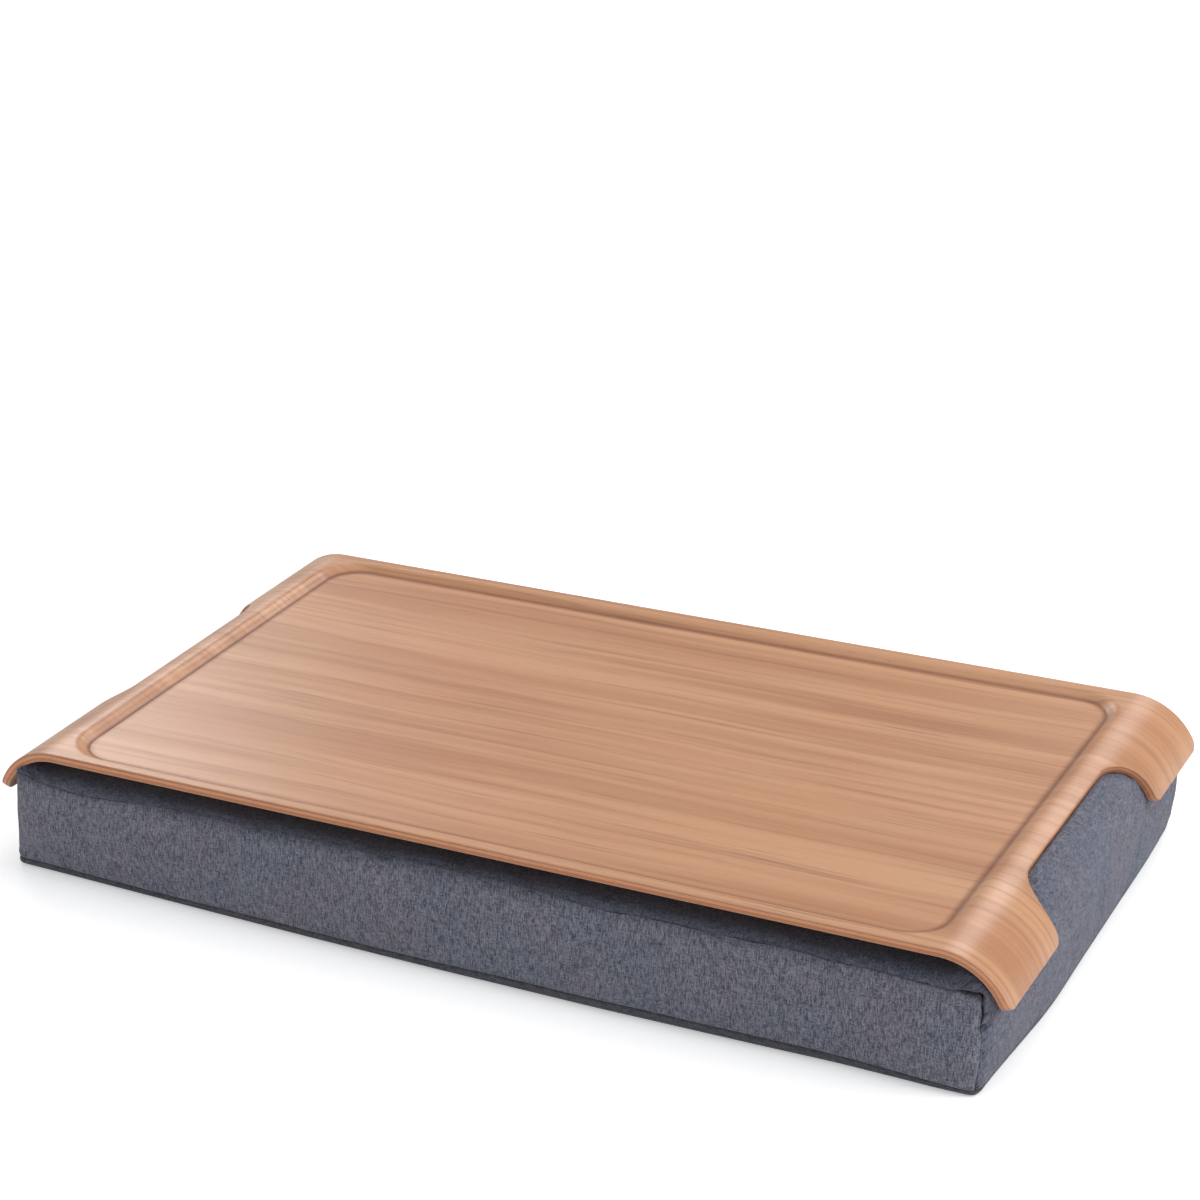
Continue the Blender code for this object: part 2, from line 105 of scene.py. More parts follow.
seam_groove = 0.7 * MM
seam_wander = 0.25 * MM
corner_groove_share = 0.12
taut_groove_share = 0.25
straight_share = 0.86
upper_seam_share = 0.34
lower_seam_share = 0.3
front_corner_share = 0.12
slit_depth = 3.0 * MM
slit_reach = 14 * MM
taut_start, taut_end, taut_fade = -165 * MM, 55 * MM, 25 * MM
right_notch_swell = 3.6 * MM
left_notch_swell = 1.2 * MM
notch_swell_rise = 1.6 * MM
notch_swell_fade = 16 * MM
swelling_limit = 1.4 * MM
swelling_frames = 20
lining_depth = 4.0 * MM
beads_depth = 5.4 * MM
filling_slack = 2 * MM

# How far the base's edges stand from the middle, in mm, along each side walked anticlockwise
front_base = ((0, 116.8), (0.04, 117.2), (0.14, 118.6), (0.23, 119.9), (0.35, 121.4), (0.5, 122.6))
front_base += ((0.65, 123.0), (0.80, 122.1), (0.87, 121.3), (0.96, 121.8), (1, 121.2))
right_base = ((0, 209.0), (0.06, 209.5), (0.12, 210.6), (0.246, 212.9), (0.324, 213.4), (0.49, 212.9))
right_base += ((0.825, 212.4), (0.914, 211.6), (0.97, 210.4), (1, 209.6))
back_base = ((0, 118.4), (0.05, 119.2), (0.5, 119.2), (0.95, 119.2), (1, 118.4))
left_base = ((0, 215.9), (0.08, 216.8), (0.5, 217.0), (0.92, 216.1), (1, 215.0))
base_reaches = (front_base, right_base, back_base, left_base)
side_bulges = (1.7 * MM, 1.5 * MM, 1.5 * MM, 0.8 * MM)

# How far the seams lie below their usual heights, in mm, along the front from the left
front_seam_drops = ((0, -3.2), (0.015, -2.9), (0.036, -1.5), (0.059, -0.3), (0.082, 0.4), (0.106, -0.3))
front_seam_drops += ((0.164, -3.0), (0.22, -3.1), (0.33, -3.3), (0.437, -3.8), (0.54, -3.7), (0.60, -3.0))
front_seam_drops += ((0.639, -1.6), (0.678, -1.5), (0.736, -2.4), (0.793, -2.3), (0.865, -1.9))
front_seam_drops += ((0.92, -0.9), (0.979, 1.1), (1, 2.3))
front_base_drops = ((0, 0.0), (0.1, 0.3), (0.3, 0.0), (0.5, -0.6), (0.7, -1.4), (0.85, -0.9))
front_base_drops += ((0.95, 0.6), (1, 1.4))

# The zip
row_low, row_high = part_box("zip_teeth_upper")
zip_height = (row_low.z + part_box("zip_teeth_lower")[1].z) / 2
slot_half_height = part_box("cover_back_band_upper")[0].z - zip_height
zip_half_length = row_high.x
tape_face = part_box("zip_tape_upper")[1].y
tape_zone = (8 * MM, 36 * MM)
tape_clearance = 0.1 * MM
behind_tape = 3.2 * MM
stop_rounding = 0.35 * MM
slider_rounding = 0.25 * MM
stitch_to_slot = 2.4 * MM
stitch_lift = 0.02 * MM
slot_stations = 120


def sum_method(operation, swapped=False):
    """A method that adds a Math node, or a Vector Math node where a vector comes in."""

    def method(self, *others):
        values = (*others, self) if swapped else (self, *others)
        sockets = [value.socket for value in values if isinstance(value, Wire)]
        kind = "Math" if all(socket.type == "VALUE" for socket in sockets) else "VectorMath"
        return self.nodes.add(kind, {"operation": operation}, *values)

    return method


class Wire:
    """A shader socket that can be used in sums."""

    __add__ = sum_method("ADD")
    __radd__ = sum_method("ADD", swapped=True)
    __sub__ = sum_method("SUBTRACT")
    __rsub__ = sum_method("SUBTRACT", swapped=True)
    __mul__ = sum_method("MULTIPLY")
    __truediv__ = sum_method("DIVIDE")
    absolute = sum_method("ABSOLUTE")
    at_least = sum_method("MAXIMUM")
    at_most = sum_method("MINIMUM")
    floor = sum_method("FLOOR")
    root = sum_method("SQRT")
    sign = sum_method("SIGN")
    sine = sum_method("SINE")
    turn_from = sum_method("ARCTAN2")

    def __init__(self, nodes, socket):
        self.nodes = nodes
        self.socket = socket

    def part(self, axis):
        return self.nodes.add("SeparateXYZ", {}, self, output=axis)


class Nodes:
    """The node tree of a material or of the world."""

    def __init__(self, owner):
        self.owner = owner
        owner.use_nodes = True
        self.tree = owner.node_tree

    def add(self, kind, settings, *values, output=0, **named):
        """Adds a node, makes its settings, then sets or links its sockets by order or by name."""
        node = self.tree.nodes.new("ShaderNode" + kind)
        for key, value in settings.items():
            setattr(node, key, value)
        for index, value in enumerate(values):
            self.put(node.inputs[index], value)
        for key, value in named.items():
            self.put(node.inputs[key.replace("_", " ")], value)
        return Wire(self, node.outputs[output])

    def put(self, socket, value):
        if isinstance(value, Wire):
            self.tree.links.new(value.socket, socket)
        else:
            socket.default_value = (*value, 1) if socket.type == "RGBA" else value

    def finish(self, **sockets):
        for key, value in sockets.items():
            self.put(self.tree.nodes["Principled BSDF"].inputs[key.replace("_", " ")], value)
        return self.owner

    def place(self):
        """Where a point is on the object, in metres."""
        return self.add("TexCoord", {}, output="Object")

    def vector(self, *parts):
        return self.add("CombineXYZ", {}, *parts)

    def noise(self, vector, detail, rough, *scale):
        """Noise over a vector, which is multiplied by scale where that is given."""
        if scale:
            vector = self.add("VectorMath", {"operation": "MULTIPLY"}, vector, scale)
        return self.add("TexNoise", {}, Vector=vector, Scale=1.0, Detail=detail, Roughness=rough)

    def ramp(self, value, stops):
        """A colour for each place from 0 to 1 of a value, from stops that hold both."""
        node = self.tree.nodes.new("ShaderNodeValToRGB")
        ramp = node.color_ramp
        ramp.elements.remove(ramp.elements[-1])
        for index, (place, tone) in enumerate(stops):
            stop = ramp.elements.new(place) if index else ramp.elements[0]
            stop.position = place
            stop.color = (*tone, 1)
        self.put(node.inputs[0], value)
        return Wire(self, node.outputs[0])

    def share(self, value, low, high):
        """0 at low, 1 at high, and smooth between them."""
        settings = {"interpolation_type": "SMOOTHSTEP", "clamp": True}
        return self.add("MapRange", settings, value, low, high, 0.0, 1.0)

    def mix(self, share, first, last, blend="MIX"):
        node = self.tree.nodes.new("ShaderNodeMix")
        node.data_type = "RGBA"
        node.blend_type = blend
        self.put(node.inputs["Factor"], share)
        self.put(node.inputs[6], first)
        self.put(node.inputs[7], last)
        return Wire(self, node.outputs[2])

    def tint(self, tone, *shares):
        """A tone with its red, green and blue multiplied by shares."""
        return self.mix(1.0, tone, shares, "MULTIPLY")

    def bump(self, height, depth, strength):
        return self.add("Bump", {}, Strength=strength, Distance=depth, Height=height, output="Normal")


def new_finish(name):
    return Nodes(bpy.data.materials.new(name))


def linear(level):
    share = level / 255
    return share / 12.92 if share <= 0.04045 else ((share + 0.055) / 1.055) ** 2.4


def colour(*levels):
    """A colour given as it looks on a screen, 0 to 255, in the linear values that shaders take."""
    return tuple(linear(level) for level in levels)


# Finishes


def sheet_place(nodes):
    """Along the grain as the sheet bends, across it, and how deep below the face."""
    place = nodes.place()
    x, y, z = (place.part(axis) for axis in "XYZ")
    length = x.absolute()
    past = (length - bend_start).at_least(0.0)
    rise = z - ear_centre_height
    along = x.sign() * (length.at_most(bend_start) + past.turn_from(rise) * ear_radius)
    return along, y, ear_radius - (past * past + rise * rise).root()


def wood_grain(nodes, along, across, seed):
    """Broad bands, narrow bands, fine lines and pores that run along the sheet."""
    wander = nodes.noise(nodes.vector(along * 4.0, across * 9.0, seed), 3.0, 0.5) - 0.5
    warped = across + wander * (16 * MM)
    broad = nodes.noise(nodes.vector(along * 2.2, warped * 52.0, seed + 3.0), 3.0, 0.55)
    bands = nodes.noise(nodes.vector(along * 5.0, warped * 230.0, seed + 7.0), 3.0, 0.6)
    lines = nodes.noise(nodes.vector(along * 13.0, warped * 820.0, seed + 11.0), 3.0, 0.6)
    pores = nodes.noise(nodes.vector(along * 170.0, warped * 2600.0, seed + 17.0), 1.0, 0.5)
    return broad, bands, lines, pores


def well_foot_shade(nodes):
    """Painted shade: 1 in the crisp hollow at the foot of the well's wall, and 0 elsewhere."""
    place = nodes.place()
    length = place.part("X").absolute() - (well_half_length - well_corner_radius)
    depth = place.part("Y").absolute() - (well_half_depth - well_corner_radius)
    side, front = length.at_least(0.0), depth.at_least(0.0)
    inside = length.at_least(depth).at_most(0.0)
    outside = (side * side + front * front).root() + inside - well_corner_radius
    foot = 0.6 * MM - well_wall_width / 2
    return nodes.share(outside, foot + 1.7 * MM, foot) * nodes.share(outside, foot - 3.2 * MM, foot)


def wood_finish(name, light, middle, dark, streak, seed):
    nodes = new_finish(name)
    along, across = sheet_place(nodes)[:2]
    broad, bands, lines, pores = wood_grain(nodes, along, across, seed)
    tone = nodes.mix(nodes.share(broad, 0.36, 0.66), light, middle)
    tone = nodes.mix(nodes.share(bands, 0.46, 0.74) * 0.46, tone, dark)
    line_strength = 0.10 + nodes.share(bands, 0.40, 0.66) * 0.30
    tone = nodes.mix(nodes.share(lines, 0.46, 0.72) * line_strength, tone, dark)
    spell = nodes.noise(nodes.vector(along * 11.0, across * 90.0, seed + 29.0), 2.0, 0.5)
    fine = nodes.share(lines, 0.56, 0.72) * nodes.share(spell, 0.54, 0.68)
    tone = nodes.mix(fine * 0.60, tone, streak)
    tone = nodes.mix(nodes.share(pores, 0.60, 0.78) * 0.26, tone, streak)
    patch = nodes.noise(nodes.vector(along * 16.0, across * 22.0, seed + 23.0), 2.0, 0.5)
    rosy = nodes.tint(tone, 1.0, 0.88, 0.84)
    tone = nodes.mix(nodes.share(patch, 0.30, 0.70) * 0.30, tone, rosy)
    # Painted shade: the wood is darkened in the hollow at the foot of the well's wall, where shade falls.
    tone = nodes.mix(well_foot_shade(nodes) * 0.90, tone, nodes.tint(tone, 0.46, 0.32, 0.23))
    height = lines * 0.5 - nodes.share(pores, 0.62, 0.80) * 0.8
    return nodes.finish(
        Base_Color=tone,
        Roughness=0.42 + (bands - 0.5) * 0.16,
        Normal=nodes.bump(height, 0.00006, 0.5),
        Coat_Weight=0.42,
        Coat_Roughness=0.30,
        Specular_IOR_Level=0.5,
    )


def edge_finish():
    """The cut edge of the laminate: pale and orange plies between thin dark glue lines."""
    nodes = new_finish("ply_edge")
    depth = sheet_place(nodes)[2]
    place = nodes.place()
    wander = nodes.noise(place, 2.0, 0.6, 55.0, 55.0, 900.0)
    level = (depth + (wander - 0.5) * 0.00022) / tray_thickness
    stops = [
        (0.150, colour(128, 74, 48)),
        (0.185, colour(158, 96, 64)),
        (0.225, colour(224, 156, 114)),
        (0.450, colour(230, 160, 116)),
        (0.560, colour(216, 142, 98)),
        (0.595, colour(172, 106, 72)),
        (0.635, colour(196, 122, 82)),
        (0.780, colour(212, 138, 96)),
        (0.830, colour(160, 96, 62)),
    ]
    fibres = nodes.noise(place, 2.0, 0.6, 260.0, 260.0, 1800.0)
    tone = nodes.ramp(level, stops)
    tone = nodes.mix(nodes.share(fibres, 0.45, 0.75) * 0.30, tone, colour(176, 104, 70))
    return nodes.finish(
        Base_Color=tone,
        Roughness=0.52 + (fibres - 0.5) * 0.2,
        Normal=nodes.bump(fibres, 0.00008, 0.5),
        Coat_Weight=0.15,
        Coat_Roughness=0.3,
    )


def yarns(nodes, across, along, pitch, run, seed):
    """The tones of yarns that lie side by side: even across each one, and changing along it."""
    number = (across / pitch).floor()
    return nodes.noise(nodes.vector(number * 7.31, along / run, seed), 2.0, 0.6)


def under_rim_shadow(nodes):
    """Painted shadow: from 0 to 1 up the cloth's upper edge, where it folds in under the tray's front and
    back rims and their shade falls.
    """
    place = nodes.place()
    across, height = place.part("Y").absolute(), place.part("Z")
    folded = nodes.share(across, rim_hollow_start, rim_hollow_start + rim_hollow_width)
    return folded * nodes.share(height, seam_height - 4 * MM, seam_height + 6 * MM)


def cloth_finish(name, dark, light, fleck):
    """A melange weave: yarns of uneven greys both ways, slubs along the warp, warm and cool patches, and
    a painted shadow under the tray's rims.
    """
    nodes = new_finish(name)
    weave = nodes.add("Attribute", {"attribute_name": "weave"}, output="Vector")
    across, along, even = weave.part("X"), weave.part("Y"), weave.part("Z")
    pitch = 0.42 * MM
    warp = yarns(nodes, across, along, pitch, 3.6 * MM, 1.0)
    weft = yarns(nodes, along, across, pitch, 3.0 * MM, 5.0)
    grain = nodes.noise(weave, 2.0, 0.7, 2300.0, 1500.0, 0.0)
    slubs = nodes.noise(weave, 3.0, 0.6, 1700.0, 360.0, 0.0)
    cross_slubs = nodes.noise(weave, 3.0, 0.6, 420.0, 1500.0, 0.0)
    patches = nodes.noise(weave, 3.0, 0.6, 260.0, 190.0, 0.0)
    cloud = nodes.noise(weave, 3.0, 0.55, 30.0, 24.0, 0.0)
    mixed = warp * (0.30 - even * 0.08) + weft * (0.17 + even * 0.06) + grain * 0.24
    mixed = mixed + slubs * (0.18 - even * 0.05) + cross_slubs * (0.05 + even * 0.07) + patches * 0.06
    tone = nodes.mix(nodes.share(mixed, 0.40, 0.60), dark, light)
    warm = nodes.tint(tone, 1.05, 0.985, 0.985)
    cool = nodes.tint(tone, 0.95, 0.995, 1.015)
    tone = nodes.mix(nodes.share(cloud, 0.36, 0.64), cool, warm)
    flecks = nodes.share(grain, 0.60, 0.72) * nodes.share(warp, 0.46, 0.62)
    tone = nodes.mix(flecks * 0.55, tone, fleck)
    tone = nodes.mix(even, tone, nodes.tint(tone, 0.80, 0.81, 0.85))
    # Painted shadow: the cloth under the tray's front and back rims is darkened where the tray's shade
    # falls.
    tone = nodes.mix(under_rim_shadow(nodes) * 0.80, tone, nodes.tint(tone, 0.26, 0.26, 0.30))
    warp_round = (across * (2 * math.pi / pitch)).sine()
    weft_round = (along * (2 * math.pi / pitch)).sine()
    height = warp_round * weft_round * 0.35 + warp * 0.8 + weft * 0.6 + grain * 0.6
    return nodes.finish(
        Base_Color=tone,
        Roughness=0.94,
        Normal=nodes.bump(height, 0.00016, 0.6),
        Sheen_Weight=0.22,
        Sheen_Roughness=0.45,
        Specular_IOR_Level=0.15,
    )


def tape_finish(name, dark, light, ribs):
    """Woven tape with ribs across it."""
    nodes = new_finish(name)
    place = nodes.place()
    rib = (place.part("X") * ribs).sine()
    speck = nodes.noise(place, 2.0, 0.6, 1500.0, 1500.0, 1500.0)
    tone = nodes.mix(nodes.share(rib * 0.3 + speck, 0.2, 0.8), dark, light)
    return nodes.finish(
        Base_Color=tone,
        Roughness=0.9,
        Normal=nodes.bump(rib * 0.4 + speck, 0.00015, 0.6),
        Specular_IOR_Level=0.2,
    )


def lining_finish():
    """Thin plain white cloth, a little creased."""
    nodes = new_finish("white_lining")
    place = nodes.place()
    creases = nodes.noise(place, 4.0, 0.6, 60.0, 60.0, 60.0)
    threads = nodes.noise(place, 1.0, 0.5, 2400.0, 2400.0, 2400.0)
    tone = nodes.mix(creases, colour(214, 213, 208), colour(236, 236, 232))
    return nodes.finish(
        Base_Color=tone,
        Roughness=0.9,
        Normal=nodes.bump(creases + threads * 0.05, 0.0015, 0.5),
    )


def metal_finish():
    """Dark plated metal, worn paler in small patches."""
    nodes = new_finish("zip_metal")
    place = nodes.place()
    patch = nodes.noise(place, 3.0, 0.6, 420.0, 420.0, 420.0)
    tone = nodes.mix(nodes.share(patch, 0.45, 0.70), colour(112, 112, 116), colour(172, 170, 168))
    scratch = nodes.noise(place, 2.0, 0.6, 300.0, 3000.0, 3000.0)
    return nodes.finish(
        Base_Color=tone,
        Metallic=1.0,
        Roughness=0.30 + patch * 0.18,
        Normal=nodes.bump(scratch, 0.00002, 0.4),
    )


def thread_finish(name, dark, light):
    nodes = new_finish(name)
    place = nodes.place()
    twist = nodes.noise(place, 1.0, 0.5, 4000.0, 4000.0, 4000.0)
    tone = nodes.mix(nodes.share(twist, 0.35, 0.65), dark, light)
    height = nodes.bump(twist, 0.0001, 0.5)
    return nodes.finish(Base_Color=tone, Roughness=0.8, Normal=height, Sheen_Weight=0.2)


def bead_finish():
    """Foam beads under their surface: pale round cells."""
    nodes = new_finish("foam_beads")
    place = nodes.place()
    cells = nodes.add("TexVoronoi", {"feature": "F1"}, Vector=place, Scale=330.0, output="Distance")
    tone = nodes.mix(nodes.share(cells, 0.1, 0.6), colour(244, 244, 240), colour(196, 196, 192))
    return nodes.finish(Base_Color=tone, Roughness=0.6, Normal=nodes.bump(1.0 - cells, 0.0012, 0.8))


def floor_finish():
    """A pale seamless floor, which keeps the object's shadow and looks white to the camera."""
    nodes = new_finish("pale_floor")
    dust = nodes.noise(nodes.place(), 2.0, 0.5, 3.0, 3.0, 3.0)
    tone = nodes.mix(dust, colour(246, 246, 248), colour(250, 250, 250))
    nodes.finish(Base_Color=tone, Roughness=0.9, Specular_IOR_Level=0.1)
    seen = nodes.add("LightPath", {}, output="Is Camera Ray")
    x, y = nodes.place().part("X"), nodes.place().part("Y")
    away = nodes.share((x * x + y * y).root(), 0.6, 2.0)
    glow = nodes.add("Emission", {}, Strength=seen * (floor_glow + away * 0.6))
    lit = Wire(nodes, nodes.tree.nodes["Principled BSDF"].outputs[0])
    both = nodes.add("AddShader", {}, lit, glow)
    nodes.put(nodes.tree.nodes["Material Output"].inputs["Surface"], both)
    return nodes.owner


# Mesh helpers


link = bpy.context.scene.collection.objects.link


def add_object(name, mesh, material, body, replaced=(), sharp=None):
    mesh.materials.append(material)
    mesh.shade_smooth()
    if sharp is not None:
        mesh.set_sharp_from_angle(angle=math.radians(sharp))
    piece = bpy.data.objects.new(name, mesh)
    link(piece)
    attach(piece, body)
    if replaced:
        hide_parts(*replaced)
    return piece


def mesh_of(name, points, faces):
    mesh = bpy.data.meshes.new(name)
    mesh.from_pydata([tuple(point) for point in points], [], faces)
    mesh.update()
    return mesh


def reshape(mesh, change):
    """Changes a mesh through its editable form."""
    work = bmesh.new()
    work.from_mesh(mesh)
    change(work)
    work.to_mesh(mesh)
    work.free()


def smooth_step(share):
    share = min(max(share, 0.0), 1.0)
    return share * share * (3 - 2 * share)


def mix(first, last, share):
    return first + (last - first) * share


def arc(centre, radius, first, last, steps):
    """Points on an arc of a plan, both ends included; the angles are in degrees."""
    angles = [math.radians(mix(first, last, step / steps)) for step in range(steps + 1)]
    return [(centre[0] + radius * math.cos(a), centre[1] + radius * math.sin(a)) for a in angles]


def on_circle(radius, along):
    """How high a circle stands over its middle, at a distance along it."""
    return math.sqrt(max(0.0, radius**2 - along**2))


# The tray


flare_centre = (sheet_end, notch_tip_half_width - notch_flare_radius)
fillet_reach = notch_flare_radius - notch_fillet_radius
tip_reach = notch_flare_radius + ear_corner_radius


def beside_flare(place, reach):
    """The centre of a rounding that touches the notch's flared side."""
    return place, flare_centre[1] + on_circle(reach, sheet_end - place)


def meets_flare(centre, reach):
    """The place along the sheet where that rounding and the flare touch."""
    return sheet_end + (centre[0] - sheet_end) * notch_flare_radius / reach


fillet_centre = beside_flare(notch_start + notch_fillet_radius, fillet_reach)
tip_centre = beside_flare(sheet_end - ear_corner_radius, tip_reach)
fillet_end = meets_flare(fillet_centre, fillet_reach)
flare_end = meets_flare(tip_centre, tip_reach)


def notch_outline():
    """The notch's edge from its middle to the ear's tip, as points of the flat sheet."""
    ends = (fillet_centre, tip_centre)
    first, last = (math.degrees(math.atan2(y - flare_centre[1], x - sheet_end)) for x, y in ends)
    points = [(notch_start, 0.0)]
    points += arc(fillet_centre, notch_fillet_radius, 180, first, 10)
    points += arc(flare_centre, notch_flare_radius, first, last, 12)[1:]
    return points + arc(tip_centre, ear_corner_radius, last - 180, 0, 8)[1:]


def edge_across(place):
    """How far from the middle the sheet's edge runs beside the notch, at a place along the sheet."""
    if place <= notch_start:
        return 0.0
    if place < fillet_end:
        return fillet_centre[1] + on_circle(notch_fillet_radius, place - fillet_centre[0])
    if place < flare_end:
        return flare_centre[1] + on_circle(notch_flare_radius, place - sheet_end)
    return tip_centre[1] - on_circle(ear_corner_radius, place - tip_centre[0])


def outer_across(place):
    """The same for the tray's front and back edges."""
    past = max(0.0, place - (sheet_end - ear_corner_radius))
    return tray_half_depth - ear_corner_radius + on_circle(ear_corner_radius, past)


def tray_loop():
    """The whole edge of the flat sheet, anticlockwise."""
    corner = (sheet_end - ear_corner_radius, tray_half_depth - ear_corner_radius)
    quarter = notch_outline() + arc(corner, ear_corner_radius, 0, 90, 8)
    quarter += [(tray_half_length * share, tray_half_depth) for share in (0.8, 0.6, 0.4, 0.2, 0.0)]
    second = [(-x, y) for x, y in reversed(quarter[:-1])]
    half = quarter + second
    return half + [(x, -y) for x, y in reversed(half[1:-1])]


def inset_loop(loop, inset):
    """The same loop moved inward."""
    moved = []
    for index, (x, y) in enumerate(loop):
        ahead, behind = loop[(index + 1) % len(loop)], loop[index - 1]
        way = Vector((ahead[0] - behind[0], ahead[1] - behind[1])).normalized()
        moved.append((x - way.y * inset, y + way.x * inset))
    return moved


def rounded_loop(half_length, half_depth, radius, steps=14):
    centre = (half_length - radius, half_depth - radius)
    quarter = arc(centre, radius, 0, 90, steps)
    half = quarter + [(-x, y) for x, y in reversed(quarter)]
    return half + [(-x, -y) for x, y in half]


def well_outside(x, y):
    """How far a point of the plan lies outside the well's edge; less than 0 inside it."""
    side = abs(x) - (well_half_length - well_corner_radius)
    front = abs(y) - (well_half_depth - well_corner_radius)
    return math.hypot(max(side, 0), max(front, 0)) + min(max(side, front), 0) - well_corner_radius


def well_drop(x, y):
    """The wall rolls over gently at the rim and meets the floor in a crisp hollow."""
    share = min(max(0.5 - well_outside(x, y) / well_wall_width, 0.0), 1.0)
    return well_depth * smooth_step(share**wall_sharpness)


def sheet_point(place, across, below):
    """A point of the formed sheet, from its place on the flat sheet and its depth below the face."""
    below += well_drop(place, across)
    if abs(place) <= bend_start:
        return (place, across, tray_top - below)
    turn = (abs(place) - bend_start) / ear_radius
    reach = ear_radius - below
    x = math.copysign(bend_start + reach * math.sin(turn), place)
    return (x, across, ear_centre_height + reach * math.cos(turn))


arris_shares = (0.13, 0.5, 1.0, 2.2)
bend_count = 18
well_count = 15


def tray_plan():
    """The flat sheet cut into triangles, fine at its rounded edge, its bends and its well's wall."""
    outline = tray_loop()
    loops = [outline] + [inset_loop(outline, share * arris_radius) for share in arris_shares]
    for step in range(-1, well_count + 2):
        inset = (step / well_count - 0.5) * well_wall_width
        radius = well_corner_radius - inset
        loops.append(rounded_loop(well_half_length - inset, well_half_depth - inset, radius))
    points, edges = [], []
    for loop in loops:
        first = len(points)
        points += [Vector(point) for point in loop]
        edges += [(first + i, first + (i + 1) % len(loop)) for i in range(len(loop))]
    overrun = 0.05 * MM
    for step in range(-1, bend_count):
        place = bend_start + ear_radius * ear_sweep * step / bend_count
        low = edge_across(place) - overrun
        high = outer_across(place) + overrun
        spans = [(low, high), (-high, -low)] if place > notch_start else [(-high, high)]
        for start, end in spans:
            for side in (1, -1):
                edges.append((len(points), len(points) + 1))
                points += [Vector((side * place, start)), Vector((side * place, end))]
    plan = delaunay_2d_cdt(points, edges, [], 1, 1e-7)
    flat = np.array([tuple(point) for point in plan[0]])
    faces = [tuple(face) for face in plan[2]]
    loop = np.array(outline)
    ahead = np.roll(loop, -1, axis=0) - loop
    offset = flat[:, None, :] - loop[None, :, :]
    along = np.clip((offset * ahead).sum(2) / (ahead**2).sum(1), 0, 1)
    nearest = np.hypot(*np.moveaxis(offset - along[:, :, None] * ahead, 2, 0)).min(1)
    return flat, faces, nearest


def rounded_drop(from_edge):
    """How far the arris falls away at a distance from the edge."""
    return arris_radius - on_circle(arris_radius, max(0.0, arris_radius - from_edge))


def drop_loose(work):
    loose = [vert for vert in work.verts if not vert.link_faces]
    bmesh.ops.delete(work, geom=loose, context="VERTS")


def make_ply(name, plan, top, thickness, rounds, finish, replaced):
    """One layer of the laminate, from a depth below the face; rounds tells which edges are soft."""
    flat, faces, nearest = plan
    count = len(flat)
    fall = [rounded_drop(gap) for gap in nearest]
    bottom = top + thickness
    points = [sheet_point(x, y, top + drop * rounds[0]) for (x, y), drop in zip(flat, fall)]
    points += [sheet_point(x, y, bottom - drop * rounds[1]) for (x, y), drop in zip(flat, fall)]
    shell = faces + [tuple(count + i for i in reversed(face)) for face in faces]
    directed = {(a, b) for face in faces for a, b in zip(face, face[1:] + face[:1])}
    shell += [(b, a, count + a, count + b) for a, b in directed if (b, a) not in directed]
    mesh = mesh_of(name, points, shell)
    reshape(mesh, drop_loose)
    add_object(name, mesh, finishes[finish], "tray", [replaced], sharp=50)


def make_tray():
    plan = tray_plan()
    core_top = veneer_thickness + glue_gap
    plies = core_thickness + 2 * (glue_line - glue_gap)
    back_top = core_top + plies + glue_gap
    make_ply("tray_face", plan, 0, veneer_thickness, (1, 0), "wood", "tray_face_veneer")
    make_ply("tray_plies", plan, core_top, plies, (0, 0), "edge", "tray_core")
    make_ply("tray_back", plan, back_top, veneer_thickness, (0, 1), "back", "tray_back_veneer")


# The room, the lights and the camera


def make_world():
    """A soft white room, brighter overhead than at the horizon, and plain white to the camera."""
    world = bpy.data.worlds.new("studio")
    nodes = Nodes(world)
    height = nodes.add("TexCoord", {}, output="Generated").part("Z")
    strength = nodes.add("MapRange", {}, height, -0.1, 0.9, 0.28, 0.46)
    room = nodes.add("Background", {}, (0.97, 0.985, 1.0), strength)
    backdrop = nodes.add("Background", {}, (1.0, 1.0, 1.0))
    seen = nodes.add("LightPath", {}, output="Is Camera Ray")
    nodes.tree.nodes.remove(nodes.tree.nodes["Background"])
    both = nodes.add("MixShader", {}, seen, room, backdrop)
    nodes.put(nodes.tree.nodes["World Output"].inputs["Surface"], both)
    bpy.context.scene.world = world


def make_stage():
    mesh = mesh_of("floor", [(-8, -8, 0), (8, -8, 0), (8, 8, 0), (-8, 8, 0)], [(0, 1, 2, 3)])
    mesh.materials.append(floor_finish())
    floor = bpy.data.objects.new("floor", mesh)
    link(floor)
    make_world()
    for name, place, size, power in (
        ("side_window", (2.0, 0.4, 1.4), 1.3, 28),
        ("back_window", (0.12, 2.3, 1.85), 0.8, 12),
        ("left_window", (-2.0, 1.9, 1.45), 0.8, 12),
        ("overhead", (0.1, 0.2, 2.4), 2.0, 10),
        ("front_fill", (-0.8, -2.4, 0.9), 1.3, 6),
    ):
        light = bpy.data.lights.new(name, "AREA")
        light.size = size
        light.energy = power
        lamp = bpy.data.objects.new(name, light)
        lamp.location = place
        lamp.rotation_euler = (-Vector(place)).to_track_quat("-Z", "Y").to_euler()
        link(lamp)


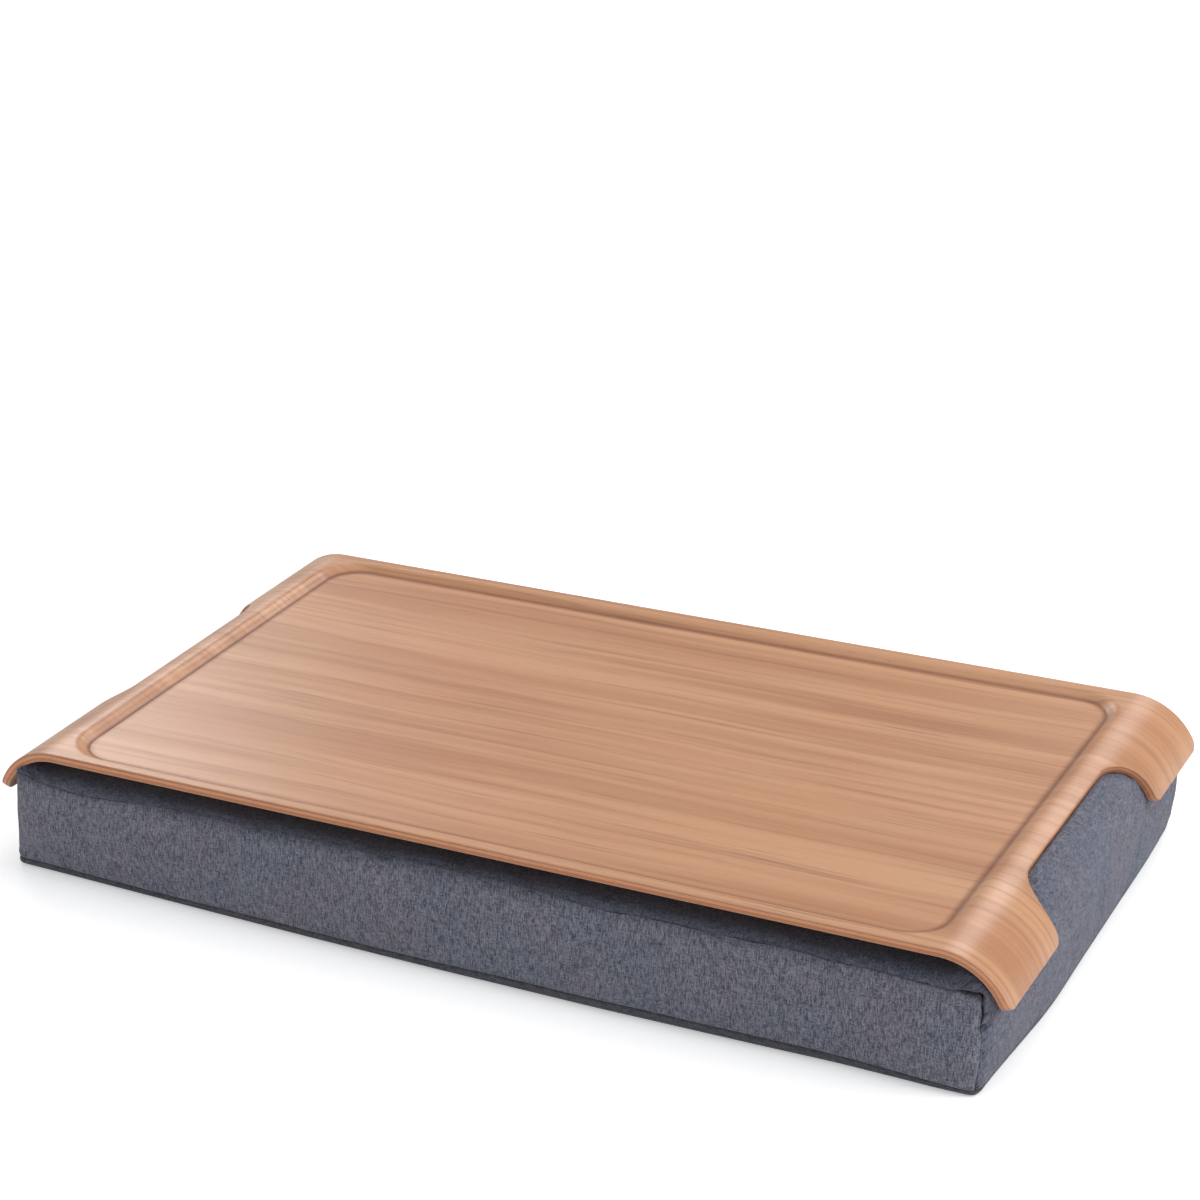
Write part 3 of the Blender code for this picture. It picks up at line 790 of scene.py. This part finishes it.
def make_camera():
    """The photograph's own view, worked out from the object's corners in it."""
    place = Vector((0.50191, -0.98530, 0.58512))
    azimuth, elevation, roll = (math.radians(angle) for angle in (26.914, 23.246, -1.386))
    focal_pixels, frame_pixels = 2988.457, 1200
    data = bpy.data.cameras.new("camera")
    data.sensor_width = 36
    data.lens = data.sensor_width * focal_pixels / frame_pixels
    camera = bpy.data.objects.new("camera", data)
    back = Vector((math.sin(azimuth), -math.cos(azimuth), 0)) * math.cos(elevation)
    back.z = math.sin(elevation)
    right = Vector((math.cos(azimuth), math.sin(azimuth), 0))
    up = back.cross(right)
    turned_right = math.cos(roll) * right + math.sin(roll) * up
    turned_up = math.cos(roll) * up - math.sin(roll) * right
    turned = Matrix((turned_right, turned_up, back)).transposed().to_4x4()
    camera.matrix_world = Matrix.Translation(place) @ turned
    link(camera)
    bpy.context.scene.camera = camera


# The cushion: one closed lattice of points, swollen as cloth, then cut into its panels

bevel_steps = (0, 1.0, 2.4, 4.4, 7.0, 10.5, 15.0)
end_steps = (0, 1.0, 2.4, 4.4, 6.6, 8.8, 9.9, 11.1, 15.0)
lattice_step = 6.5
slot_rows = (5, 9)
slot_half_length = zip_half_length + 2 * MM
held_half_length = bend_start + 6 * MM
held_half_depth = top_front - 7 * MM


def by_hand(table, share):
    """A size in metres, between the points of a table in mm."""
    places, sizes = zip(*table)
    return float(np.interp(share, places, sizes)) * MM


def lattice_shares(length, ends):
    """Places along a side, as shares of it, closer together towards its ends."""
    first = [step * MM for step in ends]
    middle = length - 2 * first[-1]
    count = round(middle / (lattice_step * MM))
    inner = [first[-1] + middle * step / count for step in range(1, count)]
    places = first + inner + [length - step for step in reversed(first)]
    return [place / length for place in places]


def height_shares():
    """Places up the sides, among them the edges of the zip's slot."""
    slot_low, slot_high = zip_height - slot_half_height, zip_height + slot_half_height
    heights = [base_seam_height + step * MM for step in (0, 1.0, 2.6, 5.5, 9.5)]
    heights += [slot_low, slot_low + 1.2 * MM, zip_height, slot_high - 1.2 * MM, slot_high]
    heights += [seam_height - step * MM for step in (9.0, 5.5, 2.6, 1.0, 0)]
    return [(height - base_seam_height) / (seam_height - base_seam_height) for height in heights]


def wave(place, scale, seed):
    """A smooth wander between about -1 and 1."""
    return noise.noise(Vector((place * scale, seed, seed * 0.37))) * 1.6


def edge_reach(side, share, rise):
    """How far a side stands from the middle of the tray: 0 front, 1 right, 2 back, 3 left."""
    top = (top_front, top_half_length, cushion_back, top_half_length)[side]
    return mix(by_hand(base_reaches[side], share), top, rise)


def wall_point(side, share, rise):
    """A point of the sides, each walked anticlockwise from the middle of one corner to the next."""
    out = Vector(((0, -1), (1, 0), (0, 1), (-1, 0))[side])
    way = Vector((-out.y, out.x))
    before = edge_reach((side - 1) % 4, 1, rise)
    length = before + edge_reach((side + 1) % 4, 0, rise)
    turn_length = cushion_corner_radius * math.pi / 4
    total = length - 2 * cushion_corner_radius + 2 * turn_length
    near = min(share, 1 - share) * total
    if near < turn_length:
        angle = (1 - near / turn_length) * math.pi / 4
        along = cushion_corner_radius * (1 - math.sin(angle))
        inward = cushion_corner_radius * (1 - math.cos(angle))
    else:
        along, inward = near - turn_length + cushion_corner_radius, 0.0
    if share > 0.5:
        along = length - along
    near_corner = max(0.0, (abs(2 * share - 1) - straight_share) / (1 - straight_share))
    straight = 1 - near_corner**2
    bulge = 4 * rise * (1 - rise)
    push = side_bulges[side] * bulge * straight - corner_pull * bulge * (1 - straight)
    if side == 2:
        push -= back_draw_in * straight
    plan = out * (edge_reach(side, share, rise) + push - inward) + way * (along - before)
    return Vector((*plan, mix(base_seam_height, seam_height, rise) - seam_drop(side, share, rise)))


def seam_drop(side, share, rise):
    """How far a point of the sides lies lower, as the seams aren't quite level."""
    if side == 0:
        top, foot = by_hand(front_seam_drops, share), by_hand(front_base_drops, share)
    else:
        end = -1 if side == 1 else 0
        near = near_front_corner(side, share)
        top = front_seam_drops[end][1] * MM * near
        foot = mix(1.0, front_base_drops[end][1], near) * MM
    top += seam_wander * wave(share, 8.0 if side % 2 else 14.0, 3.1 + side)
    foot += seam_wander * wave(share, 11.0, 9.4 + side)
    near_top = smooth_step(1 - (1 - rise) / upper_seam_share)
    near_foot = smooth_step(1 - rise / lower_seam_share)
    return top * near_top + foot * near_foot


def near_front_corner(side, share):
    """1 where an end meets the front, falling to 0 along the end."""
    from_front = {1: share, 2: 1.0, 3: 1 - share}[side]
    return smooth_step(1 - from_front / front_corner_share)


def top_rise(x, y):
    """From 0 at the top seam to 1 on the flat that bears the tray."""
    past = max(0.0, abs(x) - bend_start)
    reach = top_half_length - bend_start
    edge = cushion_back if y > 0 else top_front
    over = min(1.0, max(0.0, abs(y) - edge + rim_rounding) / rim_rounding)
    return on_circle(1, past / reach) * on_circle(1, over)


def dish_drop(x, y):
    """How far the top lies lower: under the well, and along the front and back, where it is free."""
    hollow = rim_hollow_share * smooth_step((abs(y) - rim_hollow_start) / rim_hollow_width)
    hollow *= smooth_step((top_half_length - rim_hollow_end_gap - abs(x)) / rim_hollow_end_fade)
    return dish_depth * max(smooth_step((dish_reach - well_outside(x, y)) / dish_wall_width), hollow)


class Lattice:
    """The cushion's closed surface as six grids that share their edges."""

    def __init__(self):
        self.along = lattice_shares(2 * top_half_length, end_steps)
        self.across = lattice_shares(top_front + cushion_back, bevel_steps)
        self.up = height_shares()
        self.sizes = (len(self.along) - 1, len(self.across) - 1, len(self.up) - 1)
        self.index = {}
        self.points = []
        self.faces = []
        self.panels = []
        self.place_points()
        self.make_faces()

    def wall(self, i, j, k):
        """A point of the walls."""
        nx, ny = self.sizes[:2]
        u, v = self.along[i], self.across[j]
        sides = ((j == 0, 0, u), (i == nx, 1, v), (j == ny, 2, 1 - u), (i == 0, 3, 1 - v))
        side, share = next(entry[1:] for entry in sides if entry[0])
        return wall_point(side, share, self.up[k])

    def cap_point(self, i, j, k):
        """A point inside the top or bottom, between the four seams round it."""
        nx, ny = self.sizes[:2]
        u, v = self.along[i], self.across[j]
        front, back, left, right = (self.wall(*at, k) for at in ((i, 0), (i, ny), (0, j), (nx, j)))
        corners = [self.wall(*at, k) for at in ((0, 0), (nx, 0), (0, ny), (nx, ny))]
        point = front.lerp(back, v) + left.lerp(right, u)
        point -= corners[0].lerp(corners[1], u).lerp(corners[2].lerp(corners[3], u), v)
        if k == 0:
            inset = min(min(u, 1 - u) * 2 * top_half_length, min(v, 1 - v) * 2 * cushion_back)
            point.z *= 1 - on_circle(1, 1 - min(1.0, inset / foot_width))
        else:
            rise = top_rise(point.x, point.y)
            point.z = mix(point.z, flat_top, rise) - dish_drop(point.x, point.y)
        return point

    def place_points(self):
        nx, ny, nz = self.sizes
        for k in range(nz + 1):
            for j in range(ny + 1):
                for i in range(nx + 1):
                    on_wall = i in (0, nx) or j in (0, ny)
                    if not on_wall and k not in (0, nz):
                        continue
                    point = self.wall(i, j, k) if on_wall else self.cap_point(i, j, k)
                    self.index[i, j, k] = len(self.points)
                    self.points.append(point)

    def add_grid(self, panel, corner, step_a, step_b, count_a, count_b):
        way_a, way_b = Vector(step_a), Vector(step_b)
        for a in range(count_a):
            for b in range(count_b):
                base = Vector(corner) + way_a * a + way_b * b
                ring = (base, base + way_a, base + way_a + way_b, base + way_b)
                self.faces.append(tuple(self.index[tuple(int(n) for n in key)] for key in ring))
                self.panels.append(panel)

    def make_faces(self):
        """The top's cloth runs on over both ends, as the photograph shows no seam there."""
        nx, ny, nz = self.sizes
        self.add_grid("top", (0, 0, nz), (1, 0, 0), (0, 1, 0), nx, ny)
        self.add_grid("bottom", (0, 0, 0), (0, 1, 0), (1, 0, 0), ny, nx)
        self.add_grid("front", (0, 0, 0), (1, 0, 0), (0, 0, 1), nx, nz)
        self.add_grid("top", (nx, 0, 0), (0, 1, 0), (0, 0, 1), ny, nz)
        self.add_grid("back", (nx, ny, 0), (-1, 0, 0), (0, 0, 1), nx, nz)
        self.add_grid("top", (0, ny, 0), (0, -1, 0), (0, 0, 1), ny, nz)

    def sewn(self):
        """What the swelling leaves: seams, the zip's slot, and points that the tray or floor holds."""
        nx, ny, nz = self.sizes
        fixed = []
        for (i, j, k), index in self.index.items():
            x, y = self.points[index].xy
            on_seam = j in (0, ny) and (k == nz or i in (0, nx))
            in_slot = j == ny and slot_rows[0] <= k <= slot_rows[1] and abs(x) < slot_half_length
            under = k == nz and abs(x) < held_half_length and abs(y) < held_half_depth
            if on_seam or in_slot or under or k <= 1:
                fixed.append(index)
        return fixed


def from_bend(point):
    """How far out and up a point is from its ear's bend's centre, and its place along the sheet."""
    out, rise = abs(point[0]) - bend_start, point[2] - ear_centre_height
    return out, rise, bend_start + ear_radius * math.atan2(out, rise)


def moved_from_bend(point, scale):
    """The point at another distance from that centre, in the same direction."""
    x, y, z = point
    out = (abs(x) - bend_start) * scale
    return Vector((math.copysign(bend_start + out, x), y, mix(ear_centre_height, z, scale)))


def under_tray(point):
    """Keeps a point of the cushion below the tray's underside, but for the open notches."""
    x, y, z = point
    if abs(y) > tray_half_depth + rim_edge_gap:
        return Vector(point)
    held = tray_thickness + under_tray_gap
    if abs(x) <= bend_start:
        return Vector((x, y, min(z, tray_top - held - well_drop(x, y))))
    out, rise, place = from_bend(point)
    open_edge = edge_across(min(place, sheet_end)) - notch_edge_gap
    past_end = place > sheet_end + notch_edge_gap
    in_notch = place > notch_start + notch_edge_gap and (abs(y) < open_edge or past_end)
    scale = (ear_radius - held - well_drop(place, y)) / math.hypot(out, rise)
    return Vector(point) if in_notch or scale >= 1 else moved_from_bend(point, scale)


def swell_in_notch(point):
    """Lets the cushion rise between the ears, where no tray holds it down."""
    out, rise, place = from_bend(point)
    if out <= 0 or rise <= 0:
        return point
    beyond = smooth_step((place - notch_start + 0.2 * MM) / notch_swell_rise)
    room = edge_across(min(max(place, notch_start + 1 * MM), sheet_end)) - 1.5 * MM - abs(point[1])
    between = smooth_step(room / notch_swell_fade)
    fade = 1 - 0.85 * smooth_step((place - notch_start) / (sheet_end - notch_start))
    amount = (right_notch_swell if point[0] > 0 else left_notch_swell) * beyond * between * fade
    return moved_from_bend(point, 1 + amount / math.hypot(out, rise))


def swell(lattice):
    """Blows the lattice up from inside as cloth and gives the new points."""
    mesh = mesh_of("swelling", lattice.points, lattice.faces)
    pillow = bpy.data.objects.new("swelling", mesh)
    link(pillow)
    pillow.vertex_groups.new(name="sewn").add(lattice.sewn(), 1.0, "REPLACE")
    cloth = pillow.modifiers.new("Cloth", "CLOTH")
    settings = cloth.settings
    settings.quality = 6
    settings.mass = 0.25
    settings.tension_stiffness = settings.compression_stiffness = 16
    settings.shear_stiffness = 6
    settings.bending_stiffness = 0.25
    settings.use_pressure = True
    settings.uniform_pressure_force = 4
    settings.vertex_group_mass = "sewn"
    settings.shrink_min = -0.018
    settings.effector_weights.gravity = 0
    cloth.collision_settings.use_collision = False
    for number in range(1, swelling_frames + 1):
        bpy.context.scene.frame_set(number)
    shaped = pillow.evaluated_get(bpy.context.evaluated_depsgraph_get())
    points = [vert.co.copy() for vert in shaped.data.vertices]
    bpy.context.scene.frame_set(1)
    bpy.data.objects.remove(pillow, do_unlink=True)
    return points


def over_tape(point):
    """Keeps the back's cloth outside the zip's tapes."""
    x, y, z = point
    at_tape = abs(x) <= zip_half_length + 7 * MM and tape_zone[0] < z < tape_zone[1]
    if y < cushion_back - 4 * MM or not at_tape:
        return point
    return Vector((x, max(y, tape_face + fabric_thickness + tape_clearance), z))


def capped(before, after, limit):
    step = after - before
    return before + step * min(1.0, limit / step.length) if step.length > 0 else before


def near_slit(point):
    """1 at the top of the front right corner, where the seam gapes, falling to 0 around it."""
    corner = Vector((top_half_length - 2 * MM, -top_front, seam_height - 4 * MM))
    return smooth_step(1.3 - 1.3 * (Vector(point) - corner).length / slit_reach)


def seam_share(point):
    """How deep a seam lies: least down the corners, most in the slit at the front right corner."""
    below, above = seam_height - 3 * MM - point.z, point.z - 6 * MM
    down = smooth_step(below / (5 * MM)) * smooth_step(above / (4 * MM))
    taut = smooth_step((point.x - taut_start) / taut_fade) * smooth_step((taut_end - point.x) / taut_fade)
    taut *= smooth_step((point.z - 30 * MM) / (5 * MM)) * (point.y < 0)
    usual = mix(1.0, corner_groove_share, down) * mix(1.0, taut_groove_share, taut)
    return usual + near_slit(point) * slit_depth / seam_groove


def sink_seams(mesh, depth):
    """Draws the seams between panels inward, and their neighbours a little."""

    def sink(work):
        panel_of = work.faces.layers.int["panel"]
        seams = [vert for vert in work.verts if len({face[panel_of] for face in vert.link_faces}) > 1]
        moves = {vert: vert.normal * depth * seam_share(vert.co) for vert in seams}
        beside = {}
        for vert, move in moves.items():
            for edge in vert.link_edges:
                other = edge.other_vert(vert)
                if other not in moves:
                    beside[other] = move * 0.3
        for vert, move in (moves | beside).items():
            vert.co -= move

    reshape(mesh, sink)


def shape_cushion():
    """The cover's closed form: drawn, swollen, pressed by the tray and the floor, and smoothed once."""
    lattice = Lattice()
    drawn = lattice.points
    drawn = [capped(a, b, swelling_limit) for a, b in zip(drawn, swell(lattice))]
    drawn = [over_tape(under_tray(swell_in_notch(point))) for point in drawn]
    mesh = mesh_of("cushion_form", drawn, lattice.faces)
    names = sorted(set(lattice.panels))
    layer = mesh.attributes.new("panel", "INT", "FACE")
    layer.data.foreach_set("value", [names.index(panel) for panel in lattice.panels])
    sink_seams(mesh, seam_dip)
    form = bpy.data.objects.new("cushion_form", mesh)
    link(form)
    smooth = form.modifiers.new("Smooth", "SUBSURF")
    smooth.levels = smooth.render_levels = 1
    shaped = bpy.data.meshes.new_from_object(form.evaluated_get(bpy.context.evaluated_depsgraph_get()))
    sink_seams(shaped, seam_groove)
    points = [over_tape(under_tray(vert.co)) for vert in shaped.vertices]
    points = [Vector((p.x, p.y, max(p.z, 0.0))) for p in points]
    faces = [tuple(polygon.vertices) for polygon in shaped.polygons]
    panels = [names[value.value] for value in shaped.attributes["panel"].data]
    bpy.data.objects.remove(form, do_unlink=True)
    return (drawn, lattice.faces), (points, faces, panels)


def weave_place(panel, point):
    """Where a point lies on its panel's flat cloth, and how even its weave is both ways."""
    x, y, z = point
    if panel in ("front", "back"):
        return (x, z, 0.0)
    if panel == "bottom":
        return (y + math.copysign(z, y), x + math.copysign(z, x), 1.0)
    fall, at_end = flat_top - z, smooth_step((abs(x) - bend_start) / (8 * MM))
    return (y + math.copysign(fall * (1 - at_end), y), x + math.copysign(fall * at_end, x), 1.0)


def above_zip(points):
    """The upper band, down to the slot's upper edge."""
    return min(point.z for point in points) > zip_height + slot_half_height - 0.15 * MM


def below_zip(points):
    """The lower band, which also closes the back beyond both ends of the zip's slot."""
    beyond = min(abs(point.x) for point in points) > slot_half_length + 0.8 * MM
    limit = slot_half_height + 1.1 * MM if beyond else 0.5 * MM - slot_half_height
    return max(point.z for point in points) < zip_height + limit


def cut_panel(name, panel, cover, finish, replaced, chosen=None):
    """One panel of the cover, or the chosen faces of it, with its cloth's thickness behind it."""
    points, faces, panels = cover
    kept = [face for face, key in zip(faces, panels) if key == panel]
    if chosen:
        kept = [face for face in kept if chosen([points[i] for i in face])]
    used = sorted({index for face in kept for index in face})
    renumber = {index: new for new, index in enumerate(used)}
    mesh = mesh_of(name, [points[i] for i in used], [tuple(renumber[i] for i in face) for face in kept])
    layer = mesh.attributes.new("weave", "FLOAT_VECTOR", "POINT")
    layer.data.foreach_set("vector", [n for i in used for n in weave_place(panel, points[i])])
    piece = add_object(name, mesh, finishes[finish], "cushion", replaced)
    thick = piece.modifiers.new("Cloth_thickness", "SOLIDIFY")
    thick.thickness = fabric_thickness
    thick.offset = -1


def make_filling(name, depth, inside, slot, replaced):
    """A closed form that fills the cover, set in from its outer face by a depth."""
    form = mesh_of(name, *inside)
    behind_zip = tape_face - behind_tape - depth
    hollow_floor = flat_top - dish_depth * rim_hollow_share - depth
    points = []
    for vert in form.vertices:
        point = vert.co - vert.normal * depth
        slack = filling_slack + near_slit(vert.co) * (slit_depth + 2 * MM)
        point.x = min(max(point.x, depth - top_half_length), top_half_length - depth - slack)
        point.y = min(max(point.y, depth + slack - top_front), behind_zip)
        point.z = max(point.z, depth)
        if vert.normal.z > 0.3:
            point.z = min(point.z, vert.co.z - depth)
        if abs(vert.co.y) > rim_hollow_start + 1 * MM:
            point.z = min(point.z, hollow_floor)
        points.append(point)
    bpy.data.meshes.remove(form)
    mesh = mesh_of(name, points, inside[1])
    piece = add_object(name, mesh, finishes[slot], "cushion", [replaced])


def make_cushion():
    """Makes the cover and its filling, and gives the cover's outer face."""
    inside, cover = shape_cushion()
    ends = ["cover_top_panel", "cover_left_band", "cover_right_band"]
    cut_panel("top_panel", "top", cover, "cover_cloth", ends)
    cut_panel("front_band", "front", cover, "cover_cloth", ["cover_front_band"])
    for name, chosen in (("back_band_upper", above_zip), ("back_band_lower", below_zip)):
        cut_panel(name, "back", cover, "cover_cloth", ["cover_" + name], chosen)
    cut_panel("bottom_panel", "bottom", cover, "base_cloth", ["cover_bottom_panel"])
    make_filling("lining_bag", lining_depth, inside, "lining", "inner_bag")
    make_filling("bead_pack", beads_depth, inside, "beads", "bead_fill")
    return cover


# The zip, the strips of hooks and loops, and the stitches


class Skin:
    """The closed tubes of one mesh."""

    def __init__(self):
        self.points = []
        self.faces = []

    def tube(self, rings):
        """Adds the tube that joins rings of equally many points, closed at both ends."""
        first, size = len(self.points), len(rings[0])
        for ring in rings:
            self.points += ring
        last = len(self.points) - size
        for row in range(first, last, size):
            for i in range(size):
                j = (i + 1) % size
                self.faces.append((row + i, row + j, row + size + j, row + size + i))
        self.faces.append(tuple(reversed(range(first, first + size))))
        self.faces.append(tuple(range(last, last + size)))

    def thread(self, stations, radii, sides):
        """Adds a round tube along stations."""
        rings = []
        for index, (station, radius) in enumerate(zip(stations, radii)):
            ahead, behind = stations[min(index + 1, len(stations) - 1)], stations[max(index - 1, 0)]
            way = (ahead - behind).normalized()
            side = way.cross(Vector((0, 0, 1)) if abs(way.z) < 0.9 else Vector((1, 0, 0))).normalized()
            over = side.cross(way)
            angles = [2 * math.pi * step / sides for step in range(sides)]
            rings.append([station + radius * (side * math.cos(a) + over * math.sin(a)) for a in angles])
        self.tube(rings)

    def add_object(self, name, finish, body, slot, replaced=(), sharp=40):
        mesh = mesh_of(name, self.points, self.faces)
        reshape(mesh, lambda work: bmesh.ops.recalc_face_normals(work, faces=work.faces))
        add_object(name, mesh, finishes[finish], body, replaced, sharp)


tape_steps = 160
tape_front = ((0.1, 1.0), (0.1, 0.94), (0.22, 0.90), (0.22, 0.30), (0.05, 0.24), (0, 0.12), (0.04, 0.0))


def make_tape(half):
    """One side of the zip's woven tape, with a thick ridge along the edge that holds the teeth."""
    low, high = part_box("zip_tape_" + half)
    inner, outer = (low.z, high.z) if half == "upper" else (high.z, low.z)
    section = [(low.y, share) for share in (0.0, 0.35, 1.0)]
    section += [(high.y - sunk * MM, share) for sunk, share in tape_front]
    rings = []
    for step in range(tape_steps + 1):
        x = mix(low.x, high.x, step / tape_steps)
        ripple = 0.06 * MM * abs(math.sin(x * 190) * math.sin(x * 57 + 1))
        sunk = [(y - ripple * (0.25 < share < 0.97), share) for y, share in section]
        rings.append([(x, y, mix(inner, outer, share)) for y, share in sunk])
    skin = Skin()
    skin.tube(rings)
    skin.add_object("woven_tape_" + half, "tape", "cushion", "tape", ["zip_tape_" + half])


tooth_pitch = 2.4 * MM
tooth_outline = ((0.26, 0.30), (0.52, 0.44), (0.66, 0.85), (0.60, 1.15), (0.40, 1.50))
tooth_outline += ((0.58, 2.05), (0.56, 3.02))
tooth_middle = 1.6 * MM
row_end_gap = 0.8 * MM


def make_teeth(half):
    """One row of cast teeth, each with a rounded head and a neck, half a pitch from the other row's."""
    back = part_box("zip_teeth_" + half)[1].y
    sign = 1 if half == "upper" else -1
    outline = [(x * MM, z * MM) for x, z in tooth_outline]
    outline += [(-x, z) for x, z in reversed(outline)]
    levels = ((tape_face + 0.03 * MM, 0.90), (tape_face + 0.35 * MM, 1.0))
    levels += ((back - 0.35 * MM, 1.0), (back, 0.84))
    count = int(2 * (zip_half_length - row_end_gap) / tooth_pitch)
    skin = Skin()
    for index in range(count):
        middle = (index - (count - 1) / 2 + sign / 4) * tooth_pitch
        rings = []
        for y, scale in levels:
            tooth = [(middle + x * scale, mix(tooth_middle, z, scale)) for x, z in outline]
            rings.append([(x, y, zip_height + sign * z) for x, z in tooth])
        skin.tube(rings)
    replaced = ["zip_teeth_" + half]
    skin.add_object("cast_teeth_" + half, "metal", "cushion", "zip_metal", replaced, sharp=35)


def drop_flat_edges(work):
    bmesh.ops.remove_doubles(work, verts=work.verts, dist=0.01 * MM)
    bmesh.ops.dissolve_limit(work, angle_limit=math.radians(2), verts=work.verts, edges=work.edges)


def make_cast(node, name, body, rounding):
    """A cast metal piece of the zip: the solid's own shape with rounded edges."""
    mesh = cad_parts[node].data.copy()
    mesh.name = name
    mesh.materials.clear()
    reshape(mesh, drop_flat_edges)
    piece = add_object(name, mesh, finishes["metal"], body, [node], sharp=35)
    rounded = piece.modifiers.new("Rounded_edges", "BEVEL")
    rounded.width = rounding
    rounded.segments = 2
    rounded.limit_method = "ANGLE"
    rounded.angle_limit = math.radians(35)
    rounded.harden_normals = False


def make_zip():
    for half in ("upper", "lower"):
        make_tape(half)
        make_teeth(half)
        make_cast("zip_top_stop_" + half, "end_stop_" + half, "cushion", stop_rounding)
    make_cast("zip_bottom_stop", "bottom_stop", "cushion", stop_rounding)
    make_cast("zip_slider", "cast_slider", "slider", slider_rounding)
    make_cast("zip_pull", "cast_pull", "pull", slider_rounding)


hook_bend = ((0.0, 0.0), (0.0, 0.30), (0.10, 0.43), (0.26, 0.42), (0.32, 0.28))
loop_bend = ((-0.30, 0.0), (-0.26, 0.26), (0.0, 0.42), (0.28, 0.24), (0.34, 0.0))
strip_ground = 0.42 * MM
strip_edge = 0.12 * MM
pile_margin = 3.2 * MM
pile_wander = 0.5 * MM
pile_columns, pile_rows = 8, 50


def make_strip(kind, side):
    """A strip of woven tape with a field of small hooks or loops; the loop tape is stitched on."""
    node = f"{kind}_strip_{side}"
    low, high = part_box(node)
    looped = kind == "loop"
    up = 1 if looped else -1
    ground = low.z if looped else high.z
    near, far = sorted((ground, ground + up * strip_ground))
    middle, half_width, half_length = (low + high) / 2, (high.x - low.x) / 2, (high.y - low.y) / 2
    skin = Skin()
    levels = ((near, strip_edge), (near + strip_edge, 0.0), (far - strip_edge, 0.0), (far, strip_edge))
    rings = []
    for z, inset in levels:
        ring = rounded_loop(half_width - inset, half_length - inset, 3 * MM - inset, 4)
        rings.append([Vector((middle.x + x, middle.y + y, z)) for x, y in ring])
    skin.tube(rings)
    root = ground + up * 0.40 * MM
    bend = loop_bend if looped else hook_bend
    widest_turn = 2.6 if looped else 0.5
    chance = np.random.default_rng(11 if looped else 23)
    start_x, end_x = low.x + pile_margin, high.x - pile_margin
    start_y, end_y = low.y + pile_margin, high.y - pile_margin
    for column in range(pile_columns):
        for row in range(pile_rows):
            aside, ahead, twist = chance.uniform(-1, 1, 3)
            x = mix(start_x, end_x, column / (pile_columns - 1)) + aside * pile_wander
            y = mix(start_y, end_y, row / (pile_rows - 1)) + ahead * pile_wander
            turn = twist * widest_turn
            way = Vector((math.sin(turn), math.cos(turn), 0)) * (1 if row % 2 else -1)
            rooted = Vector((x, y, root))
            path = [rooted + way * (along * MM) + Vector((0, 0, up * rise * MM)) for along, rise in bend]
            skin.thread(path, [0.055 * MM] * len(path), 4)
    skin.add_object(f"{kind}_tape_{side}", "pile", "cushion" if looped else "tray", "tape", [node])
    if looped:
        border = rounded_loop(half_width - 1.4 * MM, half_length - 1.4 * MM, 1.8 * MM, 3)
        path = [Vector((middle.x + x, y, far)) for x, y in border]
        make_stitches(f"loop_tape_stitches_{side}", path + path[:1], Vector((0, 0, 1)), 3.0 * MM)


stitch_bend = ((-0.38, -0.12), (-0.24, 0.05), (0.0, 0.09), (0.24, 0.05), (0.38, -0.12))
stitch_radii = [radius * MM for radius in (0.15, 0.21, 0.22, 0.21, 0.15)]


def make_stitches(name, path, out, pitch):
    """A row of thread stitches that lie along a path and dip into the cloth at both ends."""
    skin = Skin()
    gone = 0.0
    for start, end in zip(path, path[1:]):
        length = (end - start).length
        way = (end - start).normalized()
        while gone < length:
            middle = start + way * gone
            stations = [middle + way * (share * pitch) + out * (rise * MM) for share, rise in stitch_bend]
            skin.thread(stations, stitch_radii, 6)
            gone += pitch
        gone -= length
    skin.add_object(name, "thread", "cushion", "tape", sharp=60)


def make_slot_stitches(cover):
    """The rows of stitches beside the zip's slot, laid on the swollen cloth."""
    skin = BVHTree.FromPolygons(*cover[:2])
    for name, side in (("upper", 1), ("lower", -1)):
        z = zip_height + side * (slot_half_height + stitch_to_slot)
        path = []
        for step in range(slot_stations + 1):
            x = mix(-zip_half_length, zip_half_length, step / slot_stations)
            found = skin.ray_cast(Vector((x, 0.2, z)), Vector((0, -1, 0)))[0]
            path.append(found + Vector((0, stitch_lift, 0)))
        make_stitches("slot_stitches_" + name, path, Vector((0, 1, 0)), 3.2 * MM)


bpy.context.scene.view_settings.view_transform = "Standard"
wood_tones = colour(212, 158, 117), colour(192, 134, 93), colour(152, 96, 62), colour(110, 66, 42)
back_tones = colour(214, 162, 122), colour(198, 142, 100), colour(176, 118, 80), colour(132, 84, 54)
cover_tones = colour(72, 74, 85), colour(149, 151, 164), colour(192, 193, 204)
base_tones = colour(72, 73, 78), colour(122, 124, 129), colour(140, 142, 147)
finishes = {
    "wood": wood_finish("tray_wood", *wood_tones, 1.0),
    "back": wood_finish("tray_back_wood", *back_tones, 9.0),
    "edge": edge_finish(),
    "cover_cloth": cloth_finish("cover_cloth", *cover_tones),
    "base_cloth": cloth_finish("base_cloth", *base_tones),
    "tape": tape_finish("woven_tape", colour(24, 25, 28), colour(58, 60, 64), 9000.0),
    "lining": lining_finish(),
    "metal": metal_finish(),
    "thread": thread_finish("seam_thread", colour(52, 54, 62), colour(98, 102, 114)),
    "pile": tape_finish("hook_and_loop_pile", colour(30, 31, 34), colour(66, 68, 74), 3000.0),
    "beads": bead_finish(),
}
make_stage()
make_camera()
make_tray()
cover = make_cushion()
make_zip()
for side in ("left", "right"):
    make_strip("hook", side)
    make_strip("loop", side)
make_slot_stitches(cover)
